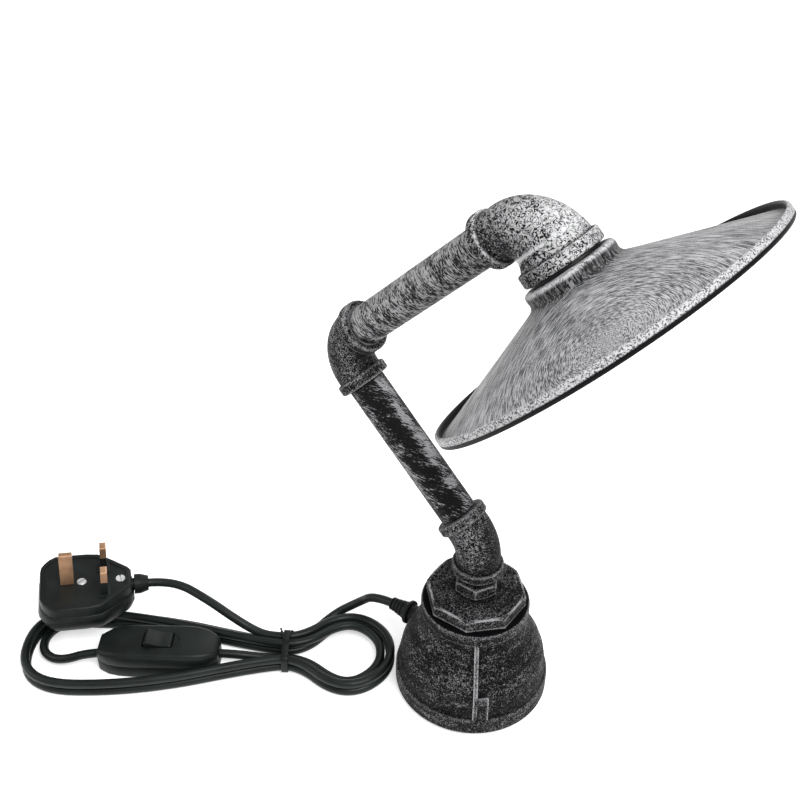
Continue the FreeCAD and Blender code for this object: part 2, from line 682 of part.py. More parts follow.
def make_head():
    face = sheet.head_elbow_leg
    plug_top = face + sheet.head_plug_flange
    plug_radius = sheet.head_socket_bore / 2 - sheet.fit_gap
    hole = sheet.tube_thread_od / 2 + sheet.fit_gap
    flange = sheet.head_plug_flange_od / 2
    floor = face - sheet.head_socket_depth + 4
    on_head(lathe("mouth_plug", [
        (hole, floor), (plug_radius, floor), (plug_radius, face + sheet.fit_gap),
        (flange, face + sheet.fit_gap),
        (flange, plug_top), (hole, plug_top)]), "head_plug")

    # spun shade: flat top, rounded shoulder, short neck, cone and a rolled hem
    wall = sheet.shade_wall
    top = plug_top + sheet.seat_gap
    neck = sheet.shade_neck_od / 2
    neck_end = top + sheet.shade_neck_height
    rim_end = top + sheet.shade_depth
    rim = sheet.shade_od / 2
    hem = rim - sheet.shade_hem_width
    hem_top = rim_end - sheet.shade_hem_height
    cone_end = rim_end - 2.2
    shade = lathe("spun_shade", [
        (hole, top), (neck - 3, top), (neck - 0.8, top + 0.9), (neck, top + 3.0), (neck, neck_end),
        (neck + 0.9, neck_end + 1.7), (neck + 3, neck_end + 2.9), (hem, cone_end),
        (hem, hem_top + 0.6), (hem + 0.6, hem_top), (rim - 0.7, hem_top), (rim, hem_top + 0.8),
        (rim, rim_end - 0.8), (rim - 0.8, rim_end),
        (hem - 1.2, rim_end - 0.6), (neck + 2.8, neck_end + 2.9 + wall), (neck + 0.2, neck_end + 2.2),
        (neck - wall, neck_end), (neck - wall, top + 3.2), (neck - 1.5, top + 1.6), (neck - 3.4, top + wall),
        (hole, top + wall)])
    on_head(shade, "shade")

    # hollow nipple with a nut inside the elbow, and the cap nut under the shade
    tube = sheet.tube_thread_od / 2
    nut = sheet.tube_nut_od / 2
    nut_low = floor - sheet.seat_gap - sheet.tube_nut_height
    seat = top + wall + sheet.seat_gap
    cap_top = seat + 1.2 + sheet.seat_gap
    tube_end = cap_top + 7
    on_head(lathe("hollow_nipple", [
        (sheet.tube_bore / 2, nut_low - 0.8), (tube, nut_low - 0.8), (tube, tube_end),
        (sheet.tube_bore / 2, tube_end)]),
        "hollow_nipple")
    nut_blank = prism("nut_blank", 6, nut, sheet.tube_nut_height, V(0, 0, nut_low.number), 0.0)
    nut_hole = cylinder("nut_hole", hole, sheet.tube_nut_height + 2, V(0, 0, nut_low.number - 1))
    on_head(cut("nipple_lock_nut", nut_blank, nut_hole), "nipple_lock_nut")
    on_head(lathe("washer", [
        (hole, seat), (nut - 0.5, seat), (nut - 0.5, seat + 1.2), (hole, seat + 1.2)]), "shade_washer")

    # lampholder: domed cap, body, insert, screw shell and contacts
    cap = sheet.holder_cap_od / 2
    cap_end = cap_top + sheet.holder_cap_height
    thick = sheet.holder_wall
    on_head(lathe("holder_cap", [
        (hole, cap_top), (7.6, cap_top), (8.4, cap_top + 4), (cap - 7, cap_top + 5), (cap - 2, cap_top + 7.2),
        (cap, cap_top + 11), (cap, cap_end), (cap - thick, cap_end), (cap - thick, cap_top + 11.4),
        (cap - 3.4, cap_top + 8.8), (cap - 8, cap_top + 7), (hole, cap_top + 6.6)]), "lampholder_cap")
    body_low = cap_end + sheet.seat_gap
    body_end = body_low + sheet.holder_body_height
    body = sheet.holder_body_od / 2
    shell = sheet.lamp_thread_bore / 2
    shell_out = shell + sheet.shell_wall
    neck_in = cap - thick - sheet.fit_gap
    on_head(lathe("holder_body", [
        (neck_in - thick, body_low - sheet.holder_neck), (neck_in, body_low - sheet.holder_neck),
        (neck_in, body_low), (cap, body_low),
        (cap, body_low + 2), (body, body_low + 3.5), (body - 1.5, body_end - 1), (body - 2.3, body_end),
        (shell_out + 0.6, body_end), (shell_out + 0.6, body_end - sheet.shell_length - 1),
        (neck_in - thick, body_end - sheet.shell_length - 3)]), "lampholder_body")
    insert_end = body_end - sheet.shell_length - 0.5
    insert_low = insert_end - sheet.insert_height
    insert_radius = neck_in - thick - sheet.fit_gap
    contact = sheet.contact_od / 2
    contact_low = insert_end - sheet.contact_height - sheet.soft_gap
    recess = contact + sheet.soft_gap
    on_head(lathe("holder_insert", [
        (2.6, insert_low), (insert_radius, insert_low), (insert_radius, insert_low + 4),
        (shell_out - 0.4, insert_end), (recess, insert_end), (recess, contact_low - sheet.seat_gap),
        (2.6, contact_low - sheet.seat_gap)]), "lampholder_insert")
    shell_wave = shell_outline(shell, insert_end + sheet.fit_gap, body_end - 1)
    on_head(lathe("rolled_shell", shell_wave), "screw_shell")
    contact_top = contact_low + sheet.contact_height
    on_head(lathe("contact", [
        (0, contact_low), (contact, contact_low), (contact, contact_low + 0.6), (2.4, contact_top),
        (0, contact_top)]), "centre_contact")
    screws = []
    for number, angle in enumerate((0, 180)):
        turn = FreeCAD.Rotation(V(0, 0, 1), angle)
        screw = cylinder("holder_screw_" + str(number), 1.9, 2.4,
                         turn.multVec(V(10.5, 0, 0)) + V(0, 0, insert_low.number - 2.4 - 0.05))
        screws.append(screw)
    on_head(group("holder_screws", screws), "lampholder_terminals")
    return insert_low


def shell_outline(bore, low, high):
    # The rolled screw thread of the lamp socket: crests and grooves on both sides of a thin wall.
    wall = sheet.shell_wall
    pitch = sheet.lamp_thread_pitch
    crest = bore - sheet.lamp_thread_depth
    inside = [(crest, low)]
    for turn in range(int((high - low).number / pitch.number)):
        start = low + pitch * turn
        inside += [(crest, start + pitch * 0.35), (bore, start + pitch * 0.5), (bore, start + pitch * 0.8),
                   (crest, start + pitch * 0.95)]
    inside.append((crest, high))
    outside = [(radius + wall, height) for radius, height in inside[::-1]]
    return inside + outside


# Soft flex: straight runs joined by tangent arcs


def corner_radius(before, at, after):
    first = at - before
    second = after - at
    turn = first.getAngle(second)
    return 0.45 * min(first.Length, second.Length) / math.tan(turn / 2)


def route_wire(points, radii=None):
    # Runs from point to point, each corner rounded by an arc that is tangent to both runs.
    edges = []
    start = points[0]
    used = []
    for index in range(1, len(points) - 1):
        before, at, after = points[index - 1], points[index], points[index + 1]
        inward = (at - before).normalize()
        outward = (after - at).normalize()
        turn = inward.getAngle(outward)
        if turn < 1e-4:
            continue
        radius = radii[index] if radii and radii[index] else corner_radius(before, at, after)
        reach = radius * math.tan(turn / 2)
        arc_start = at - inward * reach
        arc_end = at + outward * reach
        middle = at + (outward - inward).normalize() * (radius / math.cos(turn / 2) - radius)
        if (arc_start - start).dot(inward) < -1e-6:
            raise RuntimeError("the arcs beside point " + str(index) + " overlap")
        if (arc_start - start).Length > 1e-4:
            edges.append(Part.LineSegment(start, arc_start).toShape())
        edges.append(Part.Arc(arc_start, middle, arc_end).toShape())
        start = arc_end
        used.append(radius)
    edges.append(Part.LineSegment(start, points[-1]).toShape())
    return Part.Wire(edges), used


def flex(label, points, diameter, radii=None):
    # A round tube along the route; prints its radii and compares its volume.
    path, used = route_wire(points, radii)
    circle = Part.Wire(Part.Circle(points[0], points[1] - points[0], diameter / 2).toShape())
    tube = path.makePipeShell([circle], True, False)
    item = doc.addObject("Part::Feature", label)
    item.Shape = tube
    item.Placement = FreeCAD.Placement()
    expected = math.pi * diameter * diameter / 4 * path.Length
    least = min(used) if used else 0.0
    print(label, "length", round(path.Length, 1), "least radius", round(least, 1),
          "volume ratio", round(tube.Volume / expected, 4))
    print("  radii", [round(radius, 1) for radius in used])
    keep(item, label)
    return path


def path_points(path, step):
    count = int(path.Length / step)
    return path.discretize(Number=count)


def gap_to_itself(name, path, diameter):
    # The least distance between stretches of one tube that are not neighbours along it.
    step = 2.0
    points = path_points(path, step)
    skip = int(3.5 * diameter / step)
    least = min((points[i] - points[j]).Length
                for i in range(len(points)) for j in range(i + skip, len(points)))
    print(name, "least gap to itself", round(least - diameter, 2))


def gap_between(name, first, second, diameter):
    # Left out are the points near a shared end, where two stretches meet face to face.
    far = 3.0 * diameter
    shared = [a.Point for a in (first.Vertexes[0], first.Vertexes[-1])
              for b in (second.Vertexes[0], second.Vertexes[-1]) if (a.Point - b.Point).Length < 1.0]

    def clear(point):
        return all((point - end).Length > far for end in shared)

    one = [point for point in path_points(first, 1.5) if clear(point)]
    two = [point for point in path_points(second, 1.5) if clear(point)]
    least, spot = min(((a - b).Length, tuple(HANK_PLACE.inverse().multVec(a))) for a in one for b in two)
    print(name, "least gap", round(least - diameter, 2), "near", [round(value, 1) for value in spot])


HANK_TURN = FreeCAD.Rotation(V(0, 0, 1), sheet.hank_turn.number)
HANK_PLACE = FreeCAD.Placement(V(sheet.hank_x.number, sheet.hank_y.number, 0), HANK_TURN)


def hank_outline():
    # The inner loop seen from above, anticlockwise from the back of the waist.
    waist, reach = sheet.waist_half.number, sheet.waist_reach.number
    right, right_far = sheet.right_lobe_half.number, sheet.right_lobe_shoulder.number
    right_end, right_tip = sheet.right_lobe_end.number, sheet.right_lobe_tip.number
    right_turn = right_end - right + right_tip
    left, left_far, left_end = (sheet.left_lobe_half.number, sheet.left_lobe_shoulder.number,
                                sheet.left_lobe_end.number)
    return {
        "waist_back_right": (reach, waist), "waist_back_left": (-reach, waist),
        "left_back": (-left_far, left), "left_back_end": (-left_end, left),
        "left_front_end": (-left_end, -left), "left_front": (-left_far, -left),
        "waist_front_left": (-reach, -waist), "waist_front_right": (reach, -waist),
        "right_front": (right_far, -right), "right_front_end": (right_turn, -right),
        "right_front_tip": (right_end, -right_tip), "right_back_tip": (right_end, right_tip),
        "right_back_end": (right_turn, right), "right_back": (right_far, right)}


def hank_point(name, loop, layer):
    # A corner of the loop, offset outwards by whole or part steps and raised by layers.
    outline = hank_outline()
    names = list(outline)
    index = names.index(name)
    at = V(*outline[name], 0)
    before = V(*outline[names[index - 1]], 0)
    after = V(*outline[names[(index + 1) % len(names)]], 0)
    inward = (at - before).normalize()
    outward = (after - at).normalize()
    first = V(inward.y, -inward.x, 0)
    second = V(outward.y, -outward.x, 0)
    step = sheet.hank_step.number
    spot = at + (first + second) * (loop * step / (1 + first.dot(second)))
    low = sheet.cord_od.number / 2
    if name.startswith("waist"):
        low += sheet.tie_thickness.number + sheet.fit_gap.number
    return HANK_PLACE.multVec(V(spot.x, spot.y, low + layer * step))


def waist_level(layer):
    return sheet.cord_od.number / 2 + sheet.tie_thickness.number + sheet.fit_gap.number \
        + layer * sheet.hank_step.number


def on_hank(along, across, height):
    return HANK_PLACE.multVec(V(along, across, height))


WAIST_END = -6.5
# radii of the inner loop's corners; outer loops turn about the same centres
BENDS = {"waist_back_right": -24.0, "waist_back_left": -30.0, "left_back": 40.0, "left_back_end": 19.0,
         "left_front_end": 19.0, "left_front": 40.0, "waist_front_left": -40.0, "waist_front_right": -24.0,
         "right_front": 17.0, "right_front_end": 18.0, "right_front_tip": 18.0, "right_back_tip": 18.0,
         "right_back_end": 18.0, "right_back": 17.0}


def hank_bend(name, loop):
    base = BENDS[name]
    return abs(base + loop * sheet.hank_step.number)


def waist_seam(loop, layer):
    # Where a stretch is handed over, just left of the tie.
    half = sheet.waist_half.number + loop * sheet.hank_step.number
    return on_hank(WAIST_END, half, waist_level(layer))


def fold_turns(across, height):
    # The inner end turns back at the far end of the left lobe and rises into the switch.
    fold = sheet.fold_radius.number
    rise = sheet.fold_rise.number
    middle_along = fold + sheet.fold_clear.number - sheet.left_lobe_end.number
    middle_across = sheet.left_lobe_half.number - fold
    step = (180 + rise) / 4
    reach = fold / math.cos(math.radians(step / 2))
    low = sheet.cord_od.number / 2
    turns = [on_hank(middle_along + 19.5, sheet.left_lobe_half.number - 0.9, low)]
    for turn, lift in enumerate((0.0, 0.1, 0.7, 2.2)):
        angle = math.radians(90 + step * (turn + 0.5))
        turns.append(on_hank(middle_along + reach * math.cos(angle),
                             middle_across + reach * math.sin(angle), low + lift))
    slope = math.radians(rise)
    leave_along = middle_along + fold * math.sin(slope)
    leave_across = middle_across - fold * math.cos(slope)
    turns.append(on_hank(leave_along + (across - leave_across) / math.tan(slope), across, height - 0.5))
    return turns


def looped(stops):
    # Points and radii of the stops, each a corner's name, its loop and its layer.
    points = [hank_point(name, loop, layer) for name, loop, layer in stops]
    radii = [hank_bend(name, loop) for name, loop, layer in stops]
    return points, radii


def make_hank():
    diameter = sheet.cord_od.number
    outer_waist = sheet.waist_half.number + sheet.hank_step.number
    exit_point = V(-sheet.relief_reach.number, 0, sheet.exit_height.number)
    lead = [exit_point, on_hank(53.0, 29.0, 26.5), on_hank(44.5, 35.5, 15.0),
            hank_point("right_back", 2.13, 0.27), on_hank(8.8, outer_waist, waist_level(0)), waist_seam(1, 0)]
    lead_path = flex("cord_lead", lead, diameter, [None, None, None, None, 16.6, None])

    # lower part: one outer loop, then the inner one that ends in the switch
    switch_end = sheet.switch_middle.number - sheet.switch_length.number / 2
    across = sheet.switch_across.number
    axis_height = sheet.switch_split.number
    round_once = ["waist_back_left", "left_back", "left_back_end", "left_front_end", "left_front",
                  "waist_front_left", "waist_front_right", "right_front", "right_front_end",
                  "right_front_tip", "right_back_tip", "right_back_end", "right_back"]
    stops = [(name, 1, 0) for name in round_once]
    stops += [("waist_back_right", 0, 0), ("waist_back_left", 0, 0), ("left_back", 0, 0)]
    points, radii = looped(stops)
    lower = [waist_seam(1, 0)] + points + fold_turns(across, axis_height)
    lower.append(on_hank(switch_end, across, axis_height))
    # where the loop moves inwards it turns further, so its arcs are smaller
    radii[round_once.index("right_back")] = 17.2
    radii[len(round_once)] = 17.0
    fold = sheet.fold_radius.number
    radii = [None] + radii + [None] + [fold * 0.96] * 4 + [fold, None]
    lower_path = flex("cord_hank_lower", lower, diameter, radii)

    # upper part: out of the switch, round the right lobe, then one loop on top
    other_end = sheet.switch_middle.number + sheet.switch_length.number / 2
    stops = [("waist_front_left", 0, 0), ("waist_front_right", 0, 0), ("right_front", 0, 0.2),
             ("right_front_end", 0, 0.35), ("right_front_tip", 0, 0.5), ("right_back_tip", 0, 0.6),
             ("right_back_end", 0, 0.75), ("right_back", 0, 0.9), ("waist_back_right", 0, 1),
             ("waist_back_left", 0, 1), ("left_back", 0, 1)]
    stops += [(name, 1, 1) for name in round_once[2:]] + [("waist_back_right", 1, 1)]
    points, radii = looped(stops)
    handover = on_hank(-2.5, outer_waist, waist_level(1))
    upper = [on_hank(other_end, across, axis_height)] + points + [handover]
    radii = [None, None] + radii[1:] + [None]
    upper_path = flex("cord_hank_upper", upper, diameter, radii)

    plug_spot, plug_turn = plug_place()
    outlet = plug_spot + plug_turn.multVec(V(sheet.plug_length.number / 2 + 9, 0, sheet.plug_split.number))
    straight = plug_spot + plug_turn.multVec(V(sheet.plug_length.number / 2 + 25, 0, sheet.plug_split.number))
    tail = [handover, on_hank(-11.5, outer_waist, waist_level(1)), on_hank(-22.0, 12.8, 11.8),
            on_hank(-35.0, 17.6, 17.8), on_hank(-50.0, 25.5, 23.5), straight, outlet]
    tail_path = flex("cord_plug_lead", tail, diameter)

    gap_to_itself("cord_hank_lower", lower_path, diameter)
    gap_to_itself("cord_hank_upper", upper_path, diameter)
    gap_between("lower to upper", lower_path, upper_path, diameter)
    gap_between("lead to upper", lead_path, upper_path, diameter)
    gap_between("lead to lower", lead_path, lower_path, diameter)
    gap_between("plug lead to upper", tail_path, upper_path, diameter)
    gap_between("plug lead to lower", tail_path, lower_path, diameter)

    # a tie of flat strip round the waist, its twisted ends on top
    thick = sheet.tie_thickness
    across_half = sheet.waist_half + sheet.hank_step + sheet.cord_od / 2 + sheet.fit_gap * 2 + thick
    tall = sheet.hank_step + sheet.cord_od + thick * 2 + sheet.fit_gap * 3
    outer = round_upright(plate("tie_outside", [
        (-across_half, 0), (across_half, 0),
        (across_half, tall), (-across_half, tall)], sheet.tie_width), 3.6)
    inner = round_upright(plate("tie_inside", [
        (thick - across_half, thick), (across_half - thick, thick),
        (across_half - thick, tall - thick), (thick - across_half, tall - thick)], sheet.tie_width + 2), 2.7)
    inner.Placement = FreeCAD.Placement(V(0, 0, -1), FreeCAD.Rotation())
    loop = cut("tie_loop", outer, inner)
    ends = [cylinder("tie_end_" + str(side), 0.8, 11,
                     V(side * 0.75, tall.number - 0.3, sheet.tie_width.number / 2),
                     FreeCAD.Rotation(V(0, 0, 1), V(side * 0.45, 0.9, 0.25)))
            for side in (-1, 1)]
    tie = fuse("tie", [loop] + ends)
    upright = FreeCAD.Rotation(V(0, 1, 0), V(0, 0, 1), V(1, 0, 0), "ZXY")
    tie.Placement = HANK_PLACE.multiply(FreeCAD.Placement(V(-sheet.tie_width.number / 2, 0, 0), upright))
    keep(tie, "cord_tie")


# Switch


def on_switch(item, label):
    spot = on_hank(sheet.switch_middle.number, sheet.switch_across.number, 0)
    item.Placement = FreeCAD.Placement(spot, HANK_TURN).multiply(item.Placement)
    return keep(item, label)


def switch_outline(length, width):
    # A long oval with blunt ends, seen from above.
    half, wide = length / 2, width / 2
    side = [(1.0, 0.42), (0.93, 0.66), (0.80, 0.85), (0.62, 0.96), (0.42, 1.0)]
    corners = [(half * along, wide * out) for along, out in side]
    back = [(-along, out) for along, out in corners[::-1]]
    front = [(-along, -out) for along, out in corners]
    return corners + back + front + [(along, -out) for along, out in corners[::-1]]


def make_switch():
    length, width = sheet.switch_length, sheet.switch_width
    height, split, wall = sheet.switch_height, sheet.switch_split, sheet.switch_wall
    seam = sheet.fit_gap
    hollow_length = length - 26
    hollow_width = width - 9
    along = FreeCAD.Rotation(V(0, 0, 1), V(1, 0, 0))
    sideways = FreeCAD.Rotation(V(0, 0, 1), V(0, 1, 0))

    def channel(name):
        return cylinder(name, sheet.cord_od / 2 + seam, length + 4,
                        V(-length.number / 2 - 2, 0, split.number), along)

    def hollow(name, low, high):
        return box(name, hollow_length, hollow_width, high - low,
                   V(-hollow_length.number / 2, -hollow_width.number / 2, low.number))

    shank = sheet.switch_screw_od / 2
    head = shank * 1.9
    screw_top = split + 6
    screw_spots = [V(side * (hollow_length.number / 2 + 3), -side * 7.2, 0) for side in (-1, 1)]

    def screw_set(name, gap):
        screws = []
        for number, spot in enumerate(screw_spots):
            screw = lathe(name + str(number), [
                (0, 0.4 - gap), (head + gap, 0.4 - gap), (head + gap, 1.8 + gap), (shank + gap, 1.8 + gap),
                (shank + gap, screw_top + gap), (0, screw_top + gap)])
            place(screw, spot)
            screws.append(screw)
        return screws

    low = plate("switch_low", switch_outline(length, width), split - seam)
    edge_round(low, 1.6, 0.0)
    open_head = [cylinder("switch_head_hole_" + str(number), head + seam, 2, spot + V(0, 0, -1))
                 for number, spot in enumerate(screw_spots)]
    low_tools = [hollow("switch_low_hollow", wall, split + 1), channel("switch_low_channel")]
    on_switch(cut("switch_low_cut", low, fuse("switch_low_tools", low_tools + open_head
                  + screw_set("switch_low_hole_", seam))), "switch_base")

    high = plate("switch_high", switch_outline(length, width), height - split - seam)
    edge_round(high, 3.0, height.number - split.number - seam.number)
    place(high, V(0, 0, split.number + seam.number))
    window_gap = 0.8
    window = box("switch_window", sheet.rocker_length + window_gap * 2, sheet.rocker_width + window_gap,
                 wall + 2, V(-sheet.rocker_length.number / 2 - window_gap,
                             -(sheet.rocker_width.number + window_gap) / 2, height.number - wall.number - 1))
    pivot_height = height - wall - 0.3
    pin_half = hollow_width / 2 + 2
    pin = sheet.rocker_pin_od / 2
    pin_hole = cylinder("rocker_pin_hole", pin + seam, pin_half * 2 + seam * 2,
                        V(0, -pin_half.number - seam.number, pivot_height.number), sideways)
    high_tools = [hollow("switch_high_hollow", split - 1, height - wall), channel("switch_high_channel"),
                  window, pin_hole]
    on_switch(cut("switch_high_cut", high, fuse("switch_high_tools", high_tools
                  + screw_set("switch_high_hole_", seam))), "switch_cover")
    on_switch(group("switch_screw_set", screw_set("switch_screw_", as_size(0))), "switch_screws")
    on_switch(cylinder("rocker_pin_bar", pin, pin_half * 2,
                       V(0, -pin_half.number, pivot_height.number), sideways), "rocker_pin")
    contacts = [box("switch_contact_" + str(side), 9, 2.5, 4,
                    V(side * 15 - 4.5, -1.25 + side * 5, wall.number + seam.number)) for side in (-1, 1)]
    on_switch(group("switch_contact_set", contacts), "switch_contacts")

    # rocker: a double wedge on its cross pin, drawn with its right end pressed
    half = sheet.rocker_length / 2
    crest = height + 3.6 - pivot_height
    low_edge = pin + 0.9
    side_view = plate("rocker_side", [
        (-half, -low_edge), (half, -low_edge), (half, crest - 1.6), (half - 1.6, crest), (0, crest - 2.1),
        (1.6 - half, crest), (-half, crest - 1.6)], sheet.rocker_width)
    side_view.Placement = FreeCAD.Placement(V(0, sheet.rocker_width.number / 2, 0),
                                            FreeCAD.Rotation(V(1, 0, 0), 90))
    bore = cylinder("rocker_bore", pin + seam, sheet.rocker_width + 2,
                    V(0, -sheet.rocker_width.number / 2 - 1, 0), sideways)
    rocker = cut("rocker_cut", side_view, bore)
    spot = on_hank(sheet.switch_middle.number, sheet.switch_across.number, pivot_height.number)
    pressed = FreeCAD.Rotation(V(0, 1, 0), sheet.rocker_throw.number / 2)
    rocker.Placement = FreeCAD.Placement(spot, HANK_TURN.multiply(pressed))
    keep(rocker, "switch_rocker")
    print("rocker pivot", [round(value, 3) for value in spot])


def edge_round(body, radius, height):
    # Rounds the outline's edges at one height.
    base = body.Tip
    found = []
    for index, edge in enumerate(base.Shape.Edges, start=1):
        heights = [vertex.Point.z for vertex in edge.Vertexes]
        if max(abs(level - height) for level in heights) < 1e-4:
            found.append("Edge" + str(index))
    rounded = body.newObject("PartDesign::Fillet", body.Name + "_edge")
    rounded.Base = (base, found)
    bind(rounded, Radius=radius)
    doc.recompute()


# Plug


def plug_place():
    lean = FreeCAD.Rotation(V(0, 1, 0), 5.0)
    turn = FreeCAD.Rotation(V(0, 0, 1), sheet.hank_turn.number + sheet.plug_turn.number)
    spot = on_hank(sheet.plug_along.number, sheet.plug_across.number, sheet.plug_lift.number + 2.0)
    return spot, turn.multiply(lean)


def on_plug(item, label):
    spot, turn = plug_place()
    item.Placement = FreeCAD.Placement(spot, turn).multiply(item.Placement)
    return keep(item, label)


def plug_outline(grow=0.0):
    # Seen from the pins, with the flex leaving towards +X: broad at the earth end.
    half = sheet.plug_length / 2 + grow
    wide = sheet.plug_width / 2 + grow
    upper = [(half, wide * 0.34), (half - 8, wide * 0.62), (half - 20, wide * 0.97), (half - 30, wide),
             (-half + 9, wide), (-half + 2, wide - 7), (-half, wide - 14)]
    return upper + [(along, -out) for along, out in upper[::-1]]


def make_plug():
    split, height = sheet.plug_split, sheet.plug_height
    end_hole = sheet.cord_od / 2 + 1.2
    low = plate("plug_low", plug_outline()[::-1], split - 0.05)
    edge_round(low, 3.2, 0.0)
    hollow = box("plug_low_hollow", 36, 34, split, V(-16, -17, 2.4))
    outlet = cylinder("plug_low_outlet", end_hole, 30, V(15, 0, split.number),
                      FreeCAD.Rotation(V(0, 0, 1), V(1, 0, 0)))
    on_plug(cut("plug_low_cut", low, fuse("plug_low_tools", [hollow, outlet])), "plug_cover")

    high = plate("plug_high", plug_outline(-0.6)[::-1], height - split - 0.05)
    edge_round(high, 1.6, height.number - split.number - 0.05)
    high.Placement = FreeCAD.Placement(V(0, 0, split.number + 0.05), FreeCAD.Rotation())
    outlet_high = cylinder("plug_high_outlet", end_hole, 30, V(15, 0, split.number),
                           FreeCAD.Rotation(V(0, 0, 1), V(1, 0, 0)))
    tools = [outlet_high]
    pins = {}
    for name, along, across, wide, thick, reach, turned in pin_table():
        size_x, size_y = (thick, wide) if turned else (wide, thick)
        gap = sheet.fit_gap
        tools.append(box(name + "_slot", size_x + gap * 2, size_y + gap * 2, 30,
                         V(along.number - size_x.number / 2 - gap.number,
                           across.number - size_y.number / 2 - gap.number, split.number)))
        pins[name] = (along, across, size_x, size_y, reach)
    screw_spots = [(-2.5, 0.0), (21.0, 0.0)]
    for number, (along, across) in enumerate(screw_spots):
        tools.append(cylinder("plug_screw_hole_" + str(number), 3.3, 20,
                              V(along, across, height.number - 2.8)))
    on_plug(cut("plug_high_cut", high, fuse("plug_high_tools", tools)), "plug_base")

    sleeves = []
    for name, (along, across, size_x, size_y, reach) in pins.items():
        root = split + 0.1
        if name == "earth_pin":
            blade = pin_blade(name + "_blade", size_x, size_y, height + reach - root, 1.0)
            on_pin(blade, along, across, root, name)
            continue
        # line and neutral blades are waisted where the moulded sleeve grips them
        waist_height = height + sheet.sleeve_length - root
        thin = sheet.sleeve_wall * 2
        waist = pin_blade(name + "_waist", size_x - thin, size_y - thin, waist_height, 0)
        tip = pin_blade(name + "_tip", size_x, size_y, reach - sheet.sleeve_length, 1.0)
        tip.Placement = FreeCAD.Placement(V(0, 0, waist_height.number), FreeCAD.Rotation())
        on_pin(fuse(name + "_metal", [waist, tip]), along, across, root, name)
        seam = sheet.fit_gap * 2
        outer = pin_blade(name + "_sleeve", size_x, size_y, sheet.sleeve_length - seam, 0)
        inner = pin_blade(name + "_sleeve_hole", size_x - thin + seam, size_y - thin + seam,
                          sheet.sleeve_length + 2, 0)
        inner.Placement = FreeCAD.Placement(V(0, 0, -1), FreeCAD.Rotation())
        sleeve = cut(name + "_sleeve_cut", outer, inner)
        sleeve.Placement = FreeCAD.Placement(V(along.number, across.number, height.number + 0.05),
                                             FreeCAD.Rotation())
        sleeves.append(sleeve)
    on_plug(group("sleeve_set", sleeves), "pin_sleeves")
    screws = [cylinder("plug_screw_" + str(number), 3.0, 1.6, V(along, across, height.number - 2.8 + 0.05))
              for number, (along, across) in enumerate(screw_spots)]
    on_plug(group("plug_screw_set", screws), "plug_screws")
    fuse_body = cylinder("fuse_body", 3.15, 25.4, V(-12.7, -10, 5.85),
                         FreeCAD.Rotation(V(0, 0, 1), V(1, 0, 0)))
    on_plug(fuse_body, "plug_fuse")

    collar = lathe("plug_collar", [
        (sheet.cord_od / 2 + sheet.fit_gap, -6), (end_hole - sheet.fit_gap, -6),
        (end_hole - sheet.fit_gap, 0.3), (6.2, 0.3), (6.2, 4.0), (4.6, 9.0),
        (sheet.cord_od / 2 + sheet.fit_gap, 9.0)])
    spot, turn = plug_place()
    collar.Placement = FreeCAD.Placement(
        spot + turn.multVec(V(sheet.plug_length.number / 2, 0, split.number)),
        turn.multiply(FreeCAD.Rotation(V(0, 0, 1), V(1, 0, 0))))
    keep(collar, "plug_grommet")


def pin_table():
    # name, place along and across, width, thickness, length above the face, turned
    rear = sheet.pin_row * 0.5
    return [
        ("earth_pin", -rear, as_size(0), sheet.earth_width, sheet.pin_thickness, sheet.earth_length, False),
        ("line_pin", rear, -sheet.pin_offset, sheet.pin_width, sheet.pin_thickness, sheet.pin_length, True),
        ("neutral_pin", rear, sheet.pin_offset, sheet.pin_width, sheet.pin_thickness, sheet.pin_length, True)]


def pin_blade(name, size_x, size_y, length, tip):
    blade = plate(name, [
        (-size_x / 2, -size_y / 2), (size_x / 2, -size_y / 2),
        (size_x / 2, size_y / 2), (-size_x / 2, size_y / 2)],
        length)
    if tip:
        edge_round(blade, tip, length.number)
    return blade


def on_pin(blade, along, across, low, label):
    spot, turn = plug_place()
    blade.Placement = FreeCAD.Placement(
        spot + turn.multVec(V(along.number, across.number, low.number)), turn)
    keep(blade, label)


# Strain relief and what is wired inside the bell


